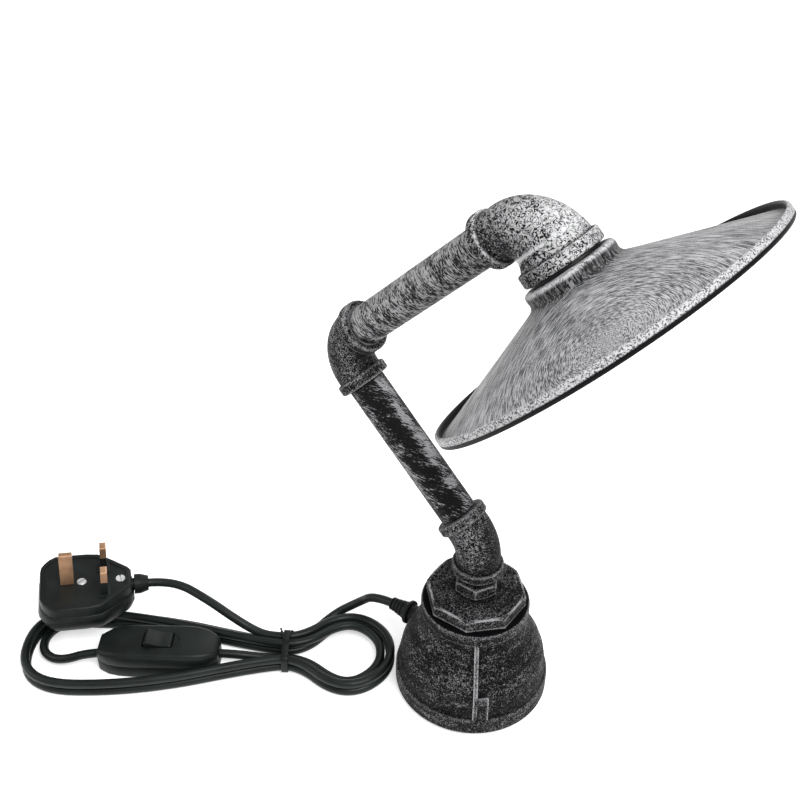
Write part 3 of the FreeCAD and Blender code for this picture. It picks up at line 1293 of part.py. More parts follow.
def make_inside(insert_level):
    bore = sheet.cord_od / 2 + sheet.fit_gap
    root = sheet.relief_root_od / 2
    tip = sheet.relief_tip_od / 2
    flange = sheet.relief_flange_od / 2
    seat = sheet.bell_shoulder_od / 2 + 0.4
    relief = lathe("relief", [
        (bore, seat - 8), (root, seat - 8), (root, seat), (flange, seat),
        (flange - 0.5, seat + sheet.relief_flange), (root, seat + 0.5 + sheet.relief_flange),
        (tip, sheet.relief_reach), (bore, sheet.relief_reach)])
    relief.Placement = FreeCAD.Placement(V(0, 0, sheet.exit_height.number),
                                         FreeCAD.Rotation(V(0, 0, 1), V(-1, 0, 0)))
    keep(relief, "cord_strain_relief")

    # earth screw on the base plate, the tag under its nut and the wire that leads to it
    floor = sheet.felt_thickness + sheet.plate_thickness + sheet.fit_gap
    low = sheet.exit_height.number
    stud = V(12, 16, floor.number)
    earth = lathe("earth_stud", [
        (0, 0), (4, 0), (4, 1.0), (2.05, 1.0), (2.05, 2.0), (3.6, 2.0), (3.6, 4.6), (0, 4.6)])
    keep(place(earth, stud), "earth_screw")
    ring = lathe("earth_ring", [(2.1, 1.1), (4.2, 1.1), (4.2, 1.9), (2.1, 1.9)])
    keep(place(ring, stud), "earth_tag")
    wire = sheet.earth_wire_od.number
    beside = (sheet.flex_od.number + wire) / 2 + 0.35
    tag_edge = stud + V(-4.25, 0, 1.5)
    flex("earth_wire", [V(-27, beside, low), V(-15, beside + 4, low - 4), V(-5, 15, 14),
                        V(1.5, 16, tag_edge.z + 0.4), tag_edge], wire)

    # the flex goes on from the strain relief, up through the nipple and along both pipes
    middle_top = (ELBOW_FACE + sheet.socket_depth - 1).number
    flex("base_flex", [V(0.3 - sheet.relief_reach.number, 0, low), V(-18, 0, low), V(0, 0, low * 2),
                       V(0, 0, middle_top)], sheet.flex_od.number, [None, 24.0, 30.0, None])
    gap = sheet.soft_gap.number
    bend = sheet.flex_bend.number
    lower_end = sheet.lower_pipe_span.number - bend - 1
    upper_end = sheet.upper_pipe_span.number - bend - 1
    flex("lower_flex", [V(0, 0, middle_top + gap), LOWER_CROSSING, LOWER_CROSSING + LOWER_WAY * lower_end],
         sheet.flex_od.number, [None, (LOWER_CROSSING.z - middle_top - gap) * 2.3, None])
    flex("upper_flex", [LOWER_CROSSING + LOWER_WAY * (lower_end + gap), MIDDLE_CROSSING,
                        MIDDLE_CROSSING + UPPER_WAY * upper_end],
         sheet.flex_od.number, [None, bend, None])
    flex("head_flex", [MIDDLE_CROSSING + UPPER_WAY * (upper_end + gap), HEAD_CROSSING,
                       HEAD_CROSSING + HEAD_WAY * (insert_level.number - gap)],
         sheet.flex_od.number, [None, bend, None])


make_base()
insert_level = make_head()
make_arm()
make_hank()
make_switch()
make_plug()
make_inside(insert_level)
doc.recompute()


def check_and_write():
    for item in doc.Objects:
        if any(state in ("Invalid", "Error") for state in item.State):
            raise RuntimeError(item.Name + " failed: " + str(item.State))
    os.makedirs("parts", exist_ok=True)
    for item in NODES:
        shape = item.Shape
        if shape.isNull() or not shape.isValid():
            raise RuntimeError(item.Label + " has no valid shape")
        shape.exportStep("parts/" + item.Label + ".step")
        print(item.Label, len(shape.Solids), "solids", round(shape.Volume / 1000, 2), "cm3")


check_and_write()
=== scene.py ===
import math

import bpy
from mathutils import Matrix, Vector


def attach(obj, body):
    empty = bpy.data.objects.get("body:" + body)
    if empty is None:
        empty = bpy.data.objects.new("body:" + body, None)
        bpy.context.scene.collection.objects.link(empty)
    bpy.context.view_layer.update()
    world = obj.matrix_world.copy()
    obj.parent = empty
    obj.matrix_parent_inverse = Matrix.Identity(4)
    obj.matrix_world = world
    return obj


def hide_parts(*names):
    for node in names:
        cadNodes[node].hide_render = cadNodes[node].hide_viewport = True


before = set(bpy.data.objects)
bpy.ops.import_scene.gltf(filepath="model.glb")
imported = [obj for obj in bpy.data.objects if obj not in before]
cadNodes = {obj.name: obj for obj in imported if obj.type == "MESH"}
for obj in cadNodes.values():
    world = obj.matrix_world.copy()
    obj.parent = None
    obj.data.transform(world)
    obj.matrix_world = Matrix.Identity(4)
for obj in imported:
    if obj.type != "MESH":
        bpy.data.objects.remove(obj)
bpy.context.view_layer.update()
print("frame loaded with", len(cadNodes), "CAD nodes")

# the camera stands where the photograph was taken from
camera = {"place": (0.23162, -0.42107, 0.54543), "swing": 34.21, "tilt": 54.62, "roll": 0.8,
          "lens": 52.0, "sensor": 36.0, "reach": 100.0}


def turn(degrees, axis):
    return Matrix.Rotation(math.radians(degrees), 4, axis)


bpy.ops.object.camera_add(location=camera["place"])
shot = bpy.context.object
shot.matrix_world = (Matrix.Translation(camera["place"]) @ turn(camera["swing"], "Z")
                     @ turn(camera["tilt"], "X") @ turn(camera["roll"], "Z"))
shot.data.lens = camera["lens"]
shot.data.sensor_width = camera["sensor"]
shot.data.clip_end = camera["reach"]
bpy.context.scene.camera = shot
print("camera placed")


def letGo():
    if bpy.context.object and bpy.context.object.mode != "OBJECT":
        bpy.ops.object.mode_set(mode="OBJECT")
    bpy.ops.object.select_all(action="DESELECT")


def take(piece):
    letGo()
    piece.select_set(True)
    bpy.context.view_layer.objects.active = piece


def pick(piece, kind, test):
    # leaves edit mode on, with only the faces, edges or corners selected that pass the test
    modes = {"faces": "FACE", "edges": "EDGE", "corners": "VERT"}
    take(piece)
    bpy.ops.object.mode_set(mode="EDIT")
    bpy.ops.mesh.select_mode(type=modes[kind])
    bpy.ops.mesh.select_all(action="DESELECT")
    bpy.ops.object.mode_set(mode="OBJECT")
    mesh = piece.data
    if kind == "faces":
        for face in mesh.polygons:
            face.select = test(face.center, face.normal)
    if kind == "edges":
        for edge in mesh.edges:
            a, b = (mesh.vertices[i].co for i in edge.vertices)
            edge.select = test(a, b)
    if kind == "corners":
        for corner in mesh.vertices:
            corner.select = test(corner.co)
    bpy.ops.object.mode_set(mode="EDIT")


def settle(piece, placed=None):
    # puts the piece in its place and keeps the place in the mesh
    take(piece)
    if placed is not None:
        piece.matrix_world = placed @ piece.matrix_world
    bpy.ops.object.transform_apply(location=True, rotation=True, scale=True)


def bevelled(piece, width, segments, angle=40):
    take(piece)
    rounding = piece.modifiers.new("rounding", "BEVEL")
    rounding.width = width
    rounding.segments = segments
    rounding.limit_method = "ANGLE"
    rounding.angle_limit = math.radians(angle)
    bpy.ops.object.modifier_apply(modifier=rounding.name)


def rounded(piece, radius, segments, test):
    # rounds the edges that pass the test
    pick(piece, "edges", test)
    bpy.ops.mesh.bevel(offset=radius, segments=segments, affect="EDGES")
    letGo()


def smoothed(piece, angle=35):
    take(piece)
    bpy.ops.object.shade_smooth_by_angle(angle=math.radians(angle))


def cutAway(piece, tool):
    take(piece)
    hollow = piece.modifiers.new("hollow", "BOOLEAN")
    hollow.operation = "DIFFERENCE"
    hollow.object = tool
    hollow.solver = "EXACT"
    bpy.ops.object.modifier_apply(modifier=hollow.name)
    bpy.data.objects.remove(tool)


def joined(pieces, name):
    take(pieces[0])
    for piece in pieces[1:]:
        piece.select_set(True)
    bpy.ops.object.join()
    bpy.context.object.name = name
    return bpy.context.object


def turnedPiece(name, rings, segments, solid=False):
    # turned about Z: a circle, extruded and scaled from ring to ring of (radius, height) in millimetres,
    # into a closed wall or, from a filled circle, into a solid
    letGo()
    rings = [(radius / 1000, height / 1000) for radius, height in rings]
    firstRadius, firstHeight = rings[0]
    bpy.ops.mesh.primitive_circle_add(vertices=segments, radius=firstRadius, location=(0, 0, firstHeight),
                                      fill_type="NGON" if solid else "NOTHING")
    piece = bpy.context.object
    piece.name = name
    bpy.ops.object.mode_set(mode="EDIT")
    bpy.ops.mesh.select_mode(type="VERT")
    bpy.ops.mesh.select_all(action="SELECT")
    for (radius, height), (nextRadius, nextHeight) in zip(rings, rings[1:] + ([] if solid else rings[:1])):
        bpy.ops.mesh.extrude_region_move(TRANSFORM_OT_translate={"value": (0, 0, nextHeight - height)})
        grow = nextRadius / radius
        bpy.ops.transform.resize(value=(grow, grow, 1), center_override=(0, 0, nextHeight))
    bpy.ops.mesh.select_all(action="SELECT")
    bpy.ops.mesh.remove_doubles(threshold=0.00001)
    bpy.ops.mesh.normals_make_consistent(inside=False)
    settle(piece)
    return piece


def drawnOut(name, stations):
    # a closed block drawn along X through stations of (along, half width, low, high) in millimetres
    letGo()
    rows = [[value / 1000 for value in row] for row in stations]
    along, half, low, high = rows[0]
    bpy.ops.mesh.primitive_plane_add(size=1, rotation=(0, math.radians(90), 0))
    piece = bpy.context.object
    piece.name = name
    bpy.ops.object.transform_apply(location=False, rotation=True, scale=False)
    bpy.ops.object.mode_set(mode="EDIT")
    bpy.ops.mesh.select_all(action="SELECT")
    bpy.ops.transform.resize(value=(1, half * 2, high - low), center_override=(0, 0, 0))
    bpy.ops.transform.translate(value=(along, 0, (low + high) / 2))
    for (x, wide, base, top), (nextX, nextWide, nextBase, nextTop) in zip(rows, rows[1:]):
        middle = (nextBase + nextTop) / 2
        bpy.ops.mesh.extrude_region_move(
            TRANSFORM_OT_translate={"value": (nextX - x, 0, middle - (base + top) / 2)})
        bpy.ops.transform.resize(value=(1, nextWide / wide, (nextTop - nextBase) / (top - base)),
                                 center_override=(nextX, 0, middle))
    bpy.ops.mesh.select_all(action="SELECT")
    bpy.ops.mesh.normals_make_consistent(inside=False)
    letGo()
    return piece


def startFinish(name, rough, metal, specular):
    finish = bpy.data.materials.new(name)
    finish.use_nodes = True
    tree = finish.node_tree
    shader = tree.nodes["Principled BSDF"]
    shader.inputs["Roughness"].default_value = rough
    shader.inputs["Metallic"].default_value = metal
    shader.inputs["Specular IOR Level"].default_value = specular
    coords = tree.nodes.new("ShaderNodeTexCoord").outputs["Object"]
    return finish, tree, shader, coords


def mapped(tree, coords, turned=(0, 0, 0), place=(0, 0, 0), size=(1, 1, 1)):
    mapping = tree.nodes.new("ShaderNodeMapping")
    mapping.inputs["Location"].default_value = place
    mapping.inputs["Rotation"].default_value = [math.radians(a) for a in turned]
    mapping.inputs["Scale"].default_value = size
    tree.links.new(coords, mapping.inputs["Vector"])
    return mapping.outputs["Vector"]


def noiseOf(tree, vector, size, detail=3.0, rough=0.55, warp=0.0):
    noise = tree.nodes.new("ShaderNodeTexNoise")
    noise.inputs["Scale"].default_value = size
    noise.inputs["Detail"].default_value = detail
    noise.inputs["Roughness"].default_value = rough
    noise.inputs["Distortion"].default_value = warp
    tree.links.new(vector, noise.inputs["Vector"])
    return noise.outputs["Fac"]


def rampOf(tree, factor, low, high, lowValue=0.0, highValue=1.0):
    # a soft step from lowValue to highValue
    step = tree.nodes.new("ShaderNodeMapRange")
    step.interpolation_type = "SMOOTHSTEP"
    for socket, value in (("From Min", low), ("From Max", high), ("To Min", lowValue), ("To Max", highValue)):
        step.inputs[socket].default_value = value
    tree.links.new(factor, step.inputs["Value"])
    return step.outputs["Result"]


def mathOf(tree, operation, a, b=0.0):
    node = tree.nodes.new("ShaderNodeMath")
    node.operation = operation
    for socket, value in zip(node.inputs, (a, b)):
        if isinstance(value, (int, float)):
            socket.default_value = value
        else:
            tree.links.new(value, socket)
    return node.outputs["Value"]


def sumOf(tree, *terms):
    # adds up pairs of a signal and its weight
    total = 0.0
    for signal, weight in terms:
        total = mathOf(tree, "ADD", total, mathOf(tree, "MULTIPLY", signal, weight))
    return total


def mixOf(tree, factor, dark, light):
    mix = tree.nodes.new("ShaderNodeMix")
    mix.data_type = "RGBA"
    tree.links.new(factor, mix.inputs["Factor"])
    for socket, colour in ((mix.inputs[6], dark), (mix.inputs[7], light)):
        if isinstance(colour, tuple):
            socket.default_value = (*colour, 1)
        else:
            tree.links.new(colour, socket)
    return mix.outputs[2]


def partsOf(tree, vector):
    parts = tree.nodes.new("ShaderNodeSeparateXYZ")
    tree.links.new(vector, parts.inputs["Vector"])
    return parts.outputs


def lengthOf(tree, vector):
    length = tree.nodes.new("ShaderNodeVectorMath")
    length.operation = "LENGTH"
    tree.links.new(vector, length.inputs[0])
    return length.outputs["Value"]


def facingOf(tree, direction):
    # how far the surface faces a direction of the piece itself
    facing = tree.nodes.new("ShaderNodeVectorMath")
    facing.operation = "DOT_PRODUCT"
    facing.inputs[1].default_value = direction
    tree.links.new(tree.nodes["Texture Coordinate"].outputs["Normal"], facing.inputs[0])
    return facing.outputs["Value"]


def bumpOf(tree, shader, height, depth, strength=1.0):
    bump = tree.nodes.new("ShaderNodeBump")
    bump.inputs["Distance"].default_value = depth
    bump.inputs["Strength"].default_value = strength
    tree.links.new(height, bump.inputs["Height"])
    tree.links.new(bump.outputs["Normal"], shader.inputs["Normal"])


def edgesOf(tree, reach, inside):
    # how near a point is to an outer edge (inside) or to a neighbour's corner (outside)
    near = tree.nodes.new("ShaderNodeAmbientOcclusion")
    near.inside = inside
    near.samples = 6
    near.only_local = inside
    near.inputs["Distance"].default_value = reach
    return near.outputs["AO"]


castShared = {
    "rough": 0.5, "winding": (1.0, 0.5, 1.2), "ridgeShare": 0.62,
    "finer": 2.2, "grit": (2.0, 0.6), "gritStep": (0.32, 0.68), "gritShare": 0.38,
    "patches": (44, 3.0, 0.6, 0.4), "patchStep": (0.34, 0.66), "facingStep": (-0.1, 0.95),
    "edgeStep": (0.97, 0.6), "edgeCover": 0.95, "occlusionShadeReach": 0.006, "occlusionShadeStep": (0.4, 0.92),
    "shadedMouthSoft": 0.0002, "paintStep": (-0.14, 0.20), "metalStep": (0.15, 1.0),
    "roughness": (0.55, 0.38), "bump": (0.0005, 0.7),
}


def castFinish(name, values):
    # dark casting: its worm-like skin and its edges are brushed over with silver; one side gets a painted
    # highlight and the recesses painted shade
    shared = castShared
    finish, tree, shader, coords = startFinish(name, shared["rough"], 0.0, values["gloss"])
    grain = values["grain"]
    winding = noiseOf(tree, coords, grain, *shared["winding"])
    ridge = rampOf(tree, mathOf(tree, "ABSOLUTE", mathOf(tree, "SUBTRACT", winding, 0.5)), *values["lines"])
    grit = rampOf(tree, noiseOf(tree, coords, grain * shared["finer"], *shared["grit"]), *shared["gritStep"])
    skin = sumOf(tree, (ridge, shared["ridgeShare"]), (grit, shared["gritShare"]))
    patches = noiseOf(tree, mapped(tree, coords, size=(1, 1, values["bands"])), *shared["patches"])
    edge = rampOf(tree, edgesOf(tree, values["edge"], True), *shared["edgeStep"])
    # painted shade: the silver is taken off in recesses and near neighbouring parts
    occlusionShade = rampOf(tree, edgesOf(tree, shared["occlusionShadeReach"], False), *shared["occlusionShadeStep"])
    if "shadedMouth" in values:
        # painted shade in the bell's mouth, inside a circle about Z and above a level
        radius, level = values["shadedMouth"]
        soft = shared["shadedMouthSoft"]
        reach = lengthOf(tree, mapped(tree, coords, size=(1, 1, 0)))
        outside = mathOf(tree, "MAXIMUM", rampOf(tree, reach, radius - soft, radius + soft),
                         rampOf(tree, partsOf(tree, coords)["Z"], level + soft, level - soft))
        occlusionShade = mathOf(tree, "MULTIPLY", occlusionShade, outside)
    spread = values["spread"]
    cover = rampOf(tree, patches, *shared["patchStep"], values["cover"] - spread, values["cover"] + spread)
    if "highlightFacing" in values:
        # painted highlight: more silver on the side that faces one way, over the brushed silver
        lifted = rampOf(tree, facingOf(tree, values["highlightFacing"]), *shared["facingStep"])
        cover = sumOf(tree, (cover, 1.0), (lifted, values["lift"]))
    cover = mathOf(tree, "MAXIMUM", mathOf(tree, "MINIMUM", cover, values["most"]),
                   mathOf(tree, "MULTIPLY", edge, shared["edgeCover"]))
    paint = rampOf(tree, mathOf(tree, "SUBTRACT", mathOf(tree, "ADD", skin, cover), 1.0),
                   *shared["paintStep"])
    # painted shade in the recesses
    paint = mathOf(tree, "MULTIPLY", paint, occlusionShade)
    metal = mixOf(tree, rampOf(tree, cover, *shared["metalStep"]), values["dull"], values["bright"])
    tree.links.new(mixOf(tree, paint, values["dark"], metal), shader.inputs["Base Color"])
    tree.links.new(rampOf(tree, paint, 0.0, 1.0, *shared["roughness"]), shader.inputs["Roughness"])
    bumpOf(tree, shader, skin, *shared["bump"])
    return finish


castValues = {
    "bell": {"grain": 560, "bands": 4.5, "cover": 0.26, "spread": 0.13, "edge": 0.0024,
             "most": 0.9, "shadedMouth": (0.0305, 0.0600), "lines": (0.10, 0.0), "gloss": 0.06,
             "dark": (0.002, 0.002, 0.0025), "dull": (0.17, 0.17, 0.175), "bright": (0.46, 0.46, 0.47)},
    "bush": {"grain": 600, "bands": 1.0, "cover": 0.28, "spread": 0.10, "edge": 0.0020,
             "most": 0.9, "lines": (0.10, 0.0), "gloss": 0.06,
             "dark": (0.002, 0.002, 0.0025), "dull": (0.17, 0.17, 0.175), "bright": (0.48, 0.48, 0.49)},
    "elbow": {"grain": 600, "bands": 1.0, "cover": 0.28, "spread": 0.16, "edge": 0.0020, "lift": 0.06,
              "highlightFacing": (0.5, 0, 0.86), "most": 0.9, "lines": (0.10, 0.0), "gloss": 0.08,
              "dark": (0.002, 0.002, 0.0025), "dull": (0.17, 0.17, 0.175), "bright": (0.60, 0.60, 0.61)},
    "head": {"grain": 520, "bands": 1.0, "cover": 0.28, "spread": 0.08, "edge": 0.0014, "lift": 0.36,
             "highlightFacing": (0.62, -0.2, 0.76), "most": 0.80, "lines": (0.015, 0.10), "gloss": 0.08,
             "dark": (0.003, 0.003, 0.004), "dull": (0.25, 0.25, 0.255), "bright": (0.72, 0.72, 0.73)},
}


pipeShared = {
    "rough": 0.42, "gloss": 0.1, "strokes": (3.0, 0.6, 0.5), "strokeShare": 0.65,
    "speckThin": 2.5, "specks": (700, 2.0, 0.6), "speckShare": 0.35, "markStep": (0.33, 0.67),
    "patchThin": 2.2, "patches": (2.0, 0.5, 0.4), "patchStep": (0.34, 0.66), "paintStep": (-0.17, 0.20),
    "occlusionShadeReach": 0.005, "occlusionShadeStep": (0.4, 0.9), "roughness": (0.48, 0.36), "bump": (0.0003, 0.5),
}


def pipeFinish(name, values):
    # silver strokes over black on a pipe; its skin is unrolled, so the strokes run round it or at a lean
    shared = pipeShared
    finish, tree, shader, coords = startFinish(name, shared["rough"], 0.0, shared["gloss"])
    tilt = math.radians(values["tilt"])
    x, y, z = values["through"]
    axisX = x * math.cos(tilt) + z * math.sin(tilt)
    around = partsOf(tree, mapped(tree, coords, (0, values["tilt"], 0), (-axisX, -y, 0)))
    flat = tree.nodes.new("ShaderNodeCombineXYZ")
    angle = mathOf(tree, "ARCTAN2", around["Y"], around["X"])
    tree.links.new(mathOf(tree, "MULTIPLY", angle, values["radius"]), flat.inputs["X"])
    tree.links.new(around["Z"], flat.inputs["Z"])
    leaning = mapped(tree, flat.outputs["Vector"], (0, values["lean"], 0))

    def thinned(amount):
        return mapped(tree, leaning, size=(1, 1, amount))

    strokes = noiseOf(tree, thinned(values["thin"]), values["stroke"], *shared["strokes"])
    specks = noiseOf(tree, thinned(shared["speckThin"]), *shared["specks"])
    patches = noiseOf(tree, thinned(shared["patchThin"]), values["patchSize"], *shared["patches"])
    marks = sumOf(tree, (rampOf(tree, strokes, *shared["markStep"]), shared["strokeShare"]),
                  (rampOf(tree, specks, *shared["markStep"]), shared["speckShare"]))
    spread = values["spread"]
    cover = rampOf(tree, patches, *shared["patchStep"], values["cover"] - spread, values["cover"] + spread)
    # painted highlight on the sides that face the given directions; a negative amount paints shade there
    # instead
    for direction, narrow, amount in values["paintedLightBands"]:
        paintedLightBand = rampOf(tree, facingOf(tree, direction), narrow, 1.0)
        cover = mathOf(tree, "ADD", cover, mathOf(tree, "MULTIPLY", paintedLightBand, amount))
    paint = rampOf(tree, mathOf(tree, "SUBTRACT", mathOf(tree, "ADD", marks, cover), 1.0),
                   *shared["paintStep"])
    # painted shade: darker near neighbouring parts
    occlusionShade = rampOf(tree, edgesOf(tree, shared["occlusionShadeReach"], False), *shared["occlusionShadeStep"])
    paint = mathOf(tree, "MULTIPLY", paint, occlusionShade)
    tree.links.new(mixOf(tree, paint, values["dark"], values["light"]), shader.inputs["Base Color"])
    tree.links.new(rampOf(tree, paint, 0.0, 1.0, *shared["roughness"]), shader.inputs["Roughness"])
    bumpOf(tree, shader, marks, *shared["bump"])
    return finish


pipeValues = {
    "lower": {"tilt": 45, "through": (0, 0, 0.1095), "radius": 0.01065, "lean": -50, "stroke": 210, "thin": 8,
              "patchSize": 80, "cover": 0.22, "spread": 0.22,
              "paintedLightBands": [((0.70, -0.06, 0.70), 0.86, 0.34), ((0.50, -0.71, 0.50), 0.82, -0.20),
                          ((-0.2, -0.95, -0.2), 0.86, 0.14)],
              "dark": (0.003, 0.003, 0.0035), "light": (0.33, 0.33, 0.34)},
    "upper": {"tilt": 135, "through": (-0.09546, 0, 0.20496), "radius": 0.01065, "lean": 6, "stroke": 280,
              "thin": 4.5, "patchSize": 70, "cover": 0.42, "spread": 0.16,
              "paintedLightBands": [((-0.575, -0.58, 0.575), 0.6, 0.12)],
              "dark": (0.004, 0.004, 0.005), "light": (0.33, 0.33, 0.335)},
}

shadeValues = {
    "dark": (0.045, 0.045, 0.047), "light": (0.46, 0.46, 0.47), "black": (0.002, 0.002, 0.0025),
    "bright": (0.50, 0.50, 0.51), "rough": 0.45, "gloss": 0.12,
    "turned": (0, -135, 0), "swirl": (0.2751, 0.062, 0), "arcScale": 0.0026, "axis": (0.2331, 0, 0.2124),
    "strokes": (2300, 2.0, 0.6, 0.3), "strokeShare": 0.78, "grain": (1700, 2.0, 0.6), "grainShare": 0.22,
    "broad": (26, 2.0, 0.5, 0.3), "broadStep": (0.3, 0.7, -0.025, 0.025), "skinStep": (0.42, 0.58),
    "hairThin": 0.25, "hairs": (1100, 3.0, 0.6, 0.4), "hairStep": (0.40, 0.60), "grooveShade": (0.98, 0.55),
    "shoulder": (0.0290, 0.0297, 0.0302, 0.0314), "groove": (0.0306, 0.0322, 0.0352, 0.0400),
    "speckle": (1300, 2.0, 0.6, 0.6), "speckleStep": (0.38, 0.56), "inwardStep": (-0.35, -0.05),
    "hem": (0.0903, 0.0909), "underHem": (0.0611, 0.0618),
    "occlusionShadeReach": 0.004, "occlusionShadeStep": (0.3, 0.85), "bump": (0.00015, 0.5),
}


def shadeFinish():
    # grey brushed metal, the strokes in arcs about a point on the front of the cone
    values = shadeValues
    finish, tree, shader, coords = startFinish("shade_brushed", values["rough"], 0.0, values["gloss"])
    local = mapped(tree, coords, values["turned"])
    centre = mapped(tree, local, place=values["swirl"], size=(1, 1, 0))
    parts = partsOf(tree, centre)
    polar = tree.nodes.new("ShaderNodeCombineXYZ")
    tree.links.new(lengthOf(tree, centre), polar.inputs["X"])
    swing = mathOf(tree, "ARCTAN2", parts["X"], parts["Y"])
    tree.links.new(mathOf(tree, "MULTIPLY", swing, values["arcScale"]), polar.inputs["Y"])
    strokes = noiseOf(tree, polar.outputs["Vector"], *values["strokes"])
    broad = rampOf(tree, noiseOf(tree, local, *values["broad"]), *values["broadStep"])
    grain = noiseOf(tree, local, *values["grain"])
    mixed = sumOf(tree, (strokes, values["strokeShare"]), (grain, values["grainShare"]), (broad, 1.0))
    skin = mixOf(tree, rampOf(tree, mixed, *values["skinStep"]), values["dark"], values["light"])

    # the neck: bright hairs on its shoulder as a painted highlight, painted shade in the groove below
    onAxis = mapped(tree, local, place=values["axis"])
    station = partsOf(tree, onAxis)["Z"]
    drawn = mapped(tree, onAxis, size=(1, 1, values["hairThin"]))
    hairs = rampOf(tree, noiseOf(tree, drawn, *values["hairs"]), *values["hairStep"])

    def between(signal, a, b, c, d):
        return mathOf(tree, "MULTIPLY", rampOf(tree, signal, a, b), rampOf(tree, signal, d, c))

    # painted highlight on the shoulder, drawn as hairs
    shoulder = mathOf(tree, "MULTIPLY", between(station, *values["shoulder"]), hairs)
    # painted shade in the groove
    groove = mathOf(tree, "MULTIPLY", between(station, *values["groove"]),
                    rampOf(tree, hairs, 0.0, 1.0, *values["grooveShade"]))
    skin = mixOf(tree, groove, skin, values["black"])
    skin = mixOf(tree, shoulder, skin, values["bright"])

    # the hem: speckled silver above, black below
    flatAxis = mapped(tree, onAxis, size=(1, 1, 0))
    radius = lengthOf(tree, flatAxis)
    speckle = mixOf(tree, rampOf(tree, noiseOf(tree, local, *values["speckle"]), *values["speckleStep"]),
                    values["dark"], values["bright"])
    speckle = mixOf(tree, rampOf(tree, station, *values["underHem"]), speckle, values["black"])
    # the side of the hem that faces the axis is black
    turnedIn = tree.nodes.new("ShaderNodeVectorMath")
    turnedIn.operation = "DOT_PRODUCT"
    normal = tree.nodes["Texture Coordinate"].outputs["Normal"]
    tree.links.new(mapped(tree, normal, values["turned"]), turnedIn.inputs[0])
    tree.links.new(flatAxis, turnedIn.inputs[1])
    inward = mathOf(tree, "DIVIDE", turnedIn.outputs["Value"], radius)
    speckle = mixOf(tree, rampOf(tree, inward, *values["inwardStep"]), values["black"], speckle)
    skin = mixOf(tree, rampOf(tree, radius, *values["hem"]), skin, speckle)

    # painted shade: black near neighbouring parts
    occlusionShade = rampOf(tree, edgesOf(tree, values["occlusionShadeReach"], False), *values["occlusionShadeStep"])
    skin = mixOf(tree, occlusionShade, values["black"], skin)
    tree.links.new(skin, shader.inputs["Base Color"])
    bumpOf(tree, shader, strokes, *values["bump"])
    return finish


paintShared = {"drifts": (60, 2.0), "grain": (2.0, 0.5), "step": (0.3, 0.7), "roughSpan": (0.9, 1.15),
               "bumpStrength": 0.6}


def paintFinish(name, colour, rough, grainSize=900, depth=0.00008, metal=0.0, drift=0.35, specular=0.3):
    # one colour with a slight drift and a fine grain
    shared = paintShared
    finish, tree, shader, coords = startFinish(name, rough, metal, specular)
    drifts = noiseOf(tree, coords, *shared["drifts"])
    grain = noiseOf(tree, coords, grainSize, *shared["grain"])
    darker = tuple(c * (1 - drift) for c in colour)
    lighter = tuple(c * (1 + drift) for c in colour)
    tree.links.new(mixOf(tree, rampOf(tree, drifts, *shared["step"]), darker, lighter),
                   shader.inputs["Base Color"])
    smoother, rougher = (rough * share for share in shared["roughSpan"])
    tree.links.new(rampOf(tree, grain, *shared["step"], smoother, min(1, rougher)),
                   shader.inputs["Roughness"])
    bumpOf(tree, shader, grain, depth, shared["bumpStrength"])
    return finish


finishes = {
    "castBell": castFinish("cast_bell", castValues["bell"]),
    "castBush": castFinish("cast_bush", castValues["bush"]),
    "castElbow": castFinish("cast_elbow", castValues["elbow"]),
    "castHead": castFinish("cast_head", castValues["head"]),
    "pipeLower": pipeFinish("pipe_lower", pipeValues["lower"]),
    "pipeUpper": pipeFinish("pipe_upper", pipeValues["upper"]),
    "shade": shadeFinish(),
    "shadeInside": paintFinish("shade_inside", (0.010, 0.010, 0.011), 0.55),
    "blackMetal": paintFinish("black_metal", (0.006, 0.006, 0.007), 0.5),
    "steel": paintFinish("zinc_steel", (0.55, 0.55, 0.56), 0.38, metal=0.45),
    "brass": paintFinish("plain_brass", (0.62, 0.42, 0.18), 0.32, metal=0.9),
    "pinMetal": paintFinish("pin_metal", (0.42, 0.245, 0.145), 0.34, grainSize=1400, metal=0.6),
    "holder": paintFinish("holder_black", (0.012, 0.012, 0.013), 0.38),
    "ceramic": paintFinish("ceramic_white", (0.78, 0.77, 0.73), 0.22, drift=0.05),
    "felt": paintFinish("base_felt", (0.012, 0.012, 0.012), 0.95, grainSize=2600, depth=0.0003),
    "cord": paintFinish("cord_sheath", (0.006, 0.0095, 0.0085), 0.38, grainSize=420, depth=0.00005,
                        specular=0.28),
    "plastic": paintFinish("moulded_black", (0.006, 0.0085, 0.008), 0.42, grainSize=1500, depth=0.00004,
                           specular=0.22),
    "rubber": paintFinish("relief_rubber", (0.006, 0.007, 0.007), 0.5, specular=0.22),
    "earth": paintFinish("earth_green", (0.09, 0.34, 0.05), 0.4),
}
print("finishes made:", len(finishes))

